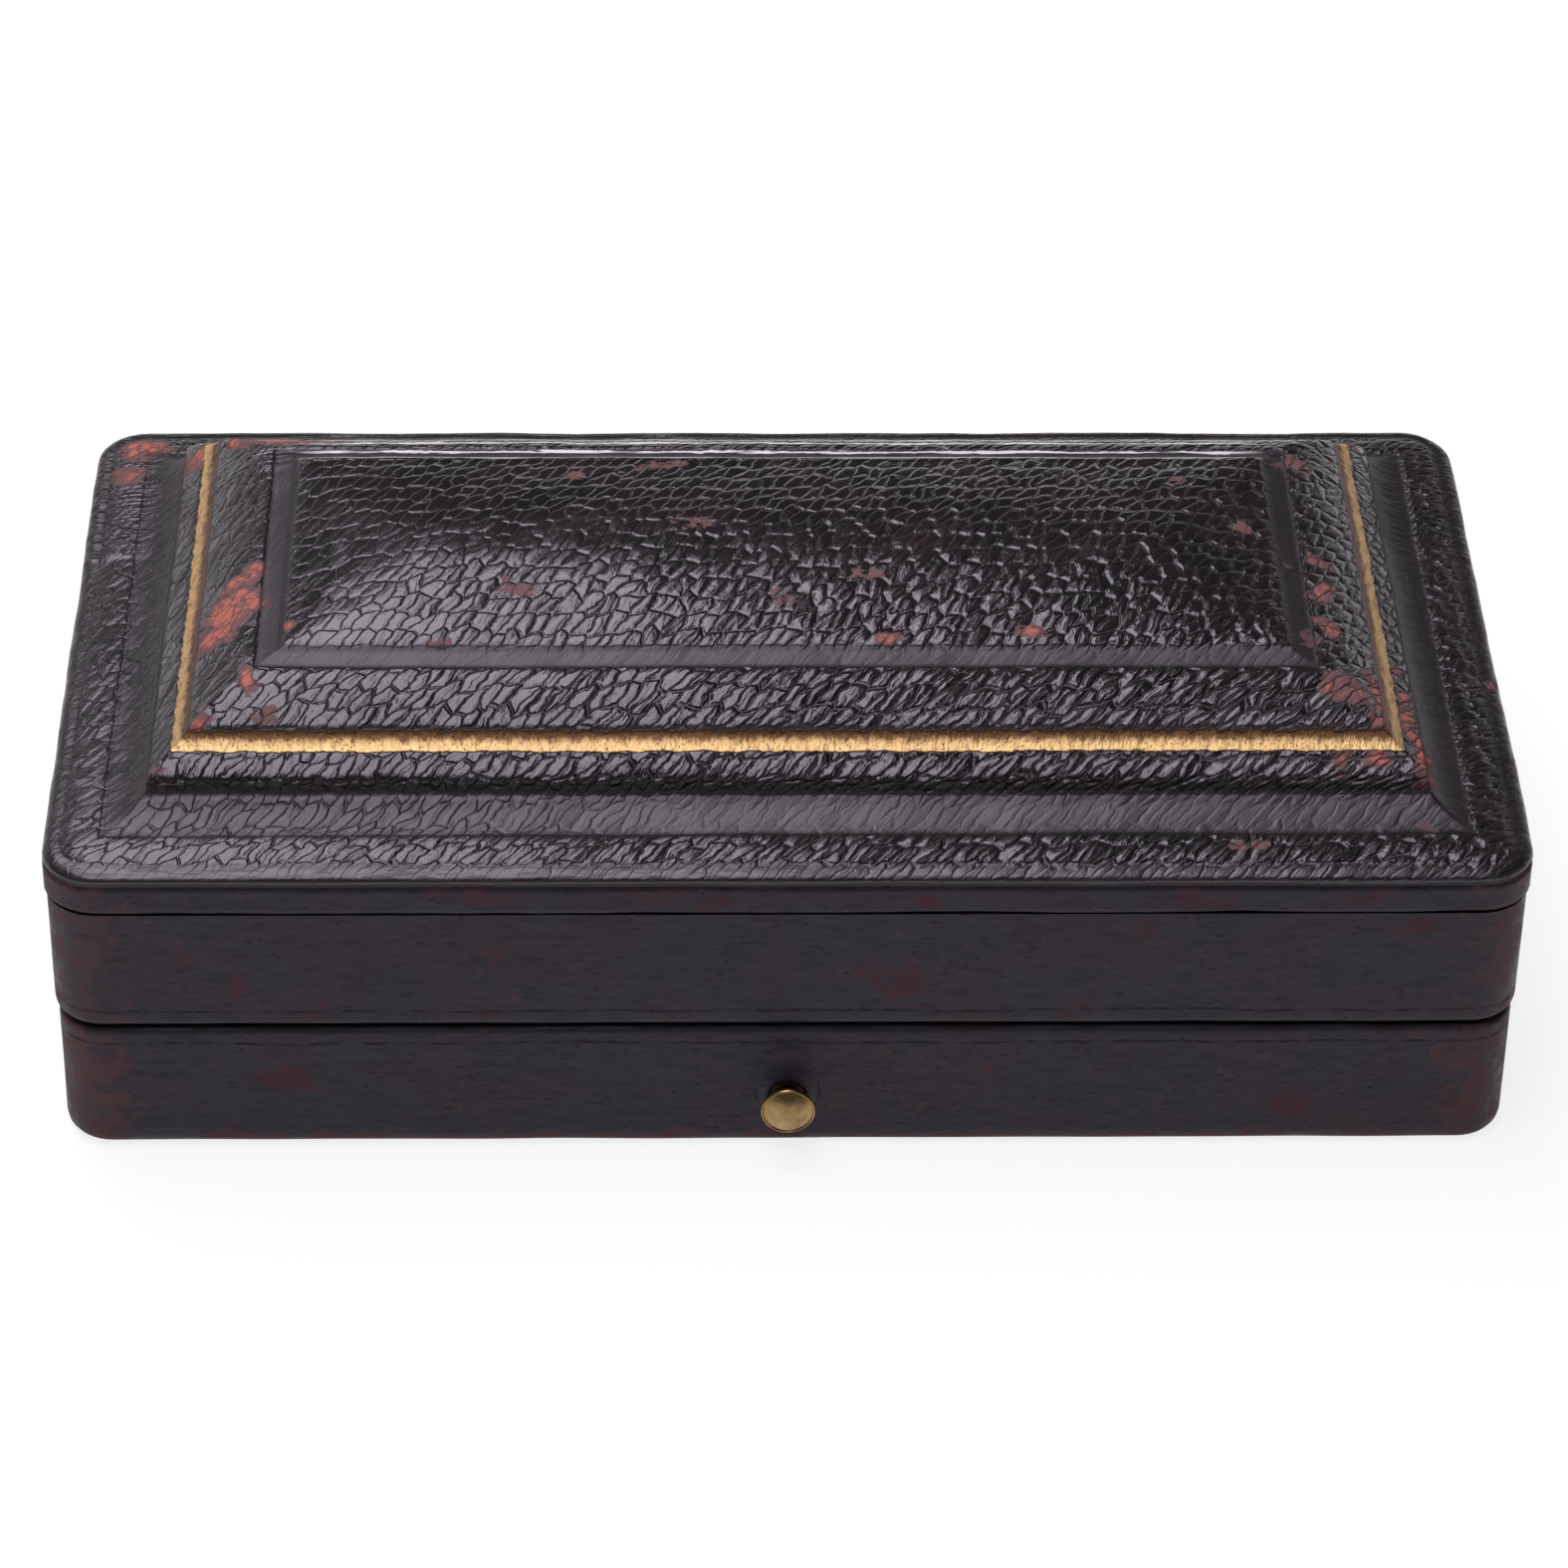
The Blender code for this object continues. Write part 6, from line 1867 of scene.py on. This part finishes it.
@dataclass
class Studio:
    """A plain white floor, one large soft lamp overhead and the camera."""

    focal_px: float = 5586.7
    frame_px: float = 1575.0
    pitch: float = 36.35
    yaw: float = -1.74
    roll: float = 0.942
    eye: tuple[float, float, float] = (-9.684, -327.343, 252.192)
    walls: float = 0.05
    backdrop: float = 0.35
    side_light: float = 0.45
    ceiling: float = 0.035
    lamp_size: tuple[float, float] = (0.4, 1.34)
    lamp_power: float = 8.8
    lamp_place: tuple[float, float, float] = (-0.158, 0.085, 0.7)
    lamp_turn: float = 6.0

    def camera(self) -> None:
        """Places the camera at the photograph's angle."""
        pitch, yaw, roll = (math.radians(a) for a in (self.pitch, self.yaw, self.roll))
        ahead = Vector(
            (-math.sin(yaw) * math.cos(pitch), math.cos(yaw) * math.cos(pitch), -math.sin(pitch))
        )
        right = Vector((math.cos(yaw), math.sin(yaw), 0.0))
        up = right.cross(ahead)
        turned_right = math.cos(roll) * right + math.sin(roll) * up
        turned_up = -math.sin(roll) * right + math.cos(roll) * up
        data = bpy.data.cameras.new("camera")
        data.sensor_width = SENSOR_MM
        data.lens = self.focal_px * SENSOR_MM / self.frame_px
        data.clip_start = 0.01
        camera = bpy.data.objects.new("camera", data)
        bpy.context.scene.collection.objects.link(camera)
        place = Matrix((turned_right, turned_up, -ahead)).transposed().to_4x4()
        place.translation = Vector(self.eye) * MM
        camera.matrix_world = place
        bpy.context.scene.camera = camera

    def light(self) -> None:
        """Hangs the lamp in a dim room, with a white backdrop low behind and pale walls beside."""
        world = bpy.data.worlds.new("studio")
        world.use_nodes = True
        tree = world.node_tree
        way = add_node(tree, "TexCoord").outputs["Generated"]
        x, y, z = add_node(tree, "SeparateXYZ", [way]).outputs
        across = add_node(tree, "Math", [x], operation="ABSOLUTE")
        paper, beside, under, behind, leftward, walls = (
            add_node(tree, "MapRange", passage, **SMOOTH)
            for passage in (
                (z, 0.03, 0.11, self.backdrop, 0.0),
                (across, 0.22, 0.42, 0.0, self.side_light),
                (z, 0.34, 0.52, 1.0, 0.0),
                (y, 0.1, 0.6, 0.0, 1.0),
                (x, -0.7, 0.7, 1.0, 0.6),
                (z, 0.1, 0.3, self.walls, self.ceiling),
            )
        )
        windows = add_node(tree, "Math", [beside, under], operation="MULTIPLY")
        seen = add_node(tree, "Math", [paper, windows], operation="MAXIMUM")
        share = add_node(tree, "Math", [behind, leftward], operation="MULTIPLY")
        glow = add_node(tree, "Math", [seen, share, walls], operation="MULTIPLY_ADD")
        feed(tree.nodes["Background"], {"Color": WHITE, "Strength": glow})
        bpy.context.scene.world = world
        data = bpy.data.lights.new("softbox", "AREA")
        data.shape = "RECTANGLE"
        data.size, data.size_y = self.lamp_size
        data.energy = self.lamp_power
        data.color = (0.98, 0.97, 1.0)
        lamp = bpy.data.objects.new("softbox", data)
        lamp.location = self.lamp_place
        lamp.rotation_euler = (0.0, 0.0, math.radians(self.lamp_turn))
        bpy.context.scene.collection.objects.link(lamp)

    def floor(self) -> None:
        """Lays the floor, which looks white, keeps a soft shadow and is clear from below."""
        bm = bmesh.new()
        bmesh.ops.create_circle(bm, cap_ends=True, segments=96, radius=12.0)
        bmesh.ops.translate(bm, vec=(0.0, 0.0, -0.00005), verts=bm.verts)
        floor = placed(bm, "studio_floor")
        material = bpy.data.materials.new("white_floor_paint")
        material.use_nodes = True
        tree = material.node_tree
        tree.nodes.clear()
        ray = add_node(tree, "LightPath")
        seen: Any = ray.outputs["Is Camera Ray"]
        for other in ("Is Glossy Ray", "Is Transmission Ray"):
            seen = add_node(tree, "Math", [seen, ray.outputs[other]], operation="MAXIMUM")
        paint = add_node(tree, "BsdfDiffuse", {"Color": (0.85, 0.85, 0.85, 1.0)})
        faint = add_node(tree, "BsdfDiffuse", {"Color": (0.2, 0.2, 0.2, 1.0)})
        glow = add_node(tree, "Emission", {"Strength": 0.82})
        white = add_node(tree, "AddShader", [faint, glow])
        top = add_node(tree, "MixShader", [seen, paint, white])
        clear = add_node(tree, "BsdfTransparent")
        below = add_node(tree, "NewGeometry").outputs["Backfacing"]
        both = add_node(tree, "MixShader", [below, top, clear])
        add_node(tree, "OutputMaterial", {"Surface": both})
        floor.data.materials.append(material)

    def build(self) -> None:
        """Sets the whole studio up."""
        self.floor()
        self.light()
        self.camera()
        bpy.context.scene.view_settings.view_transform = "Standard"


def main() -> None:
    """Builds the studio and every piece of the box, logging each one."""
    logging.basicConfig(level=logging.INFO, format="%(name)s: %(message)s")
    # Without a seed, the vector noise of the worn places would follow the clock.
    noise.seed_set(NOISE_SEED)
    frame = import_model()
    finishes = Finishes()
    Studio().build()
    LidLeather().build(finishes)
    WallLeather().build(finishes)
    PushButton().build(finishes)
    Brasswork().build(frame, finishes)
    LidLining().build(finishes)
    BaseLining().build(finishes)
    Carcass().dress(frame, finishes)


if __name__ == "__main__":
    main()
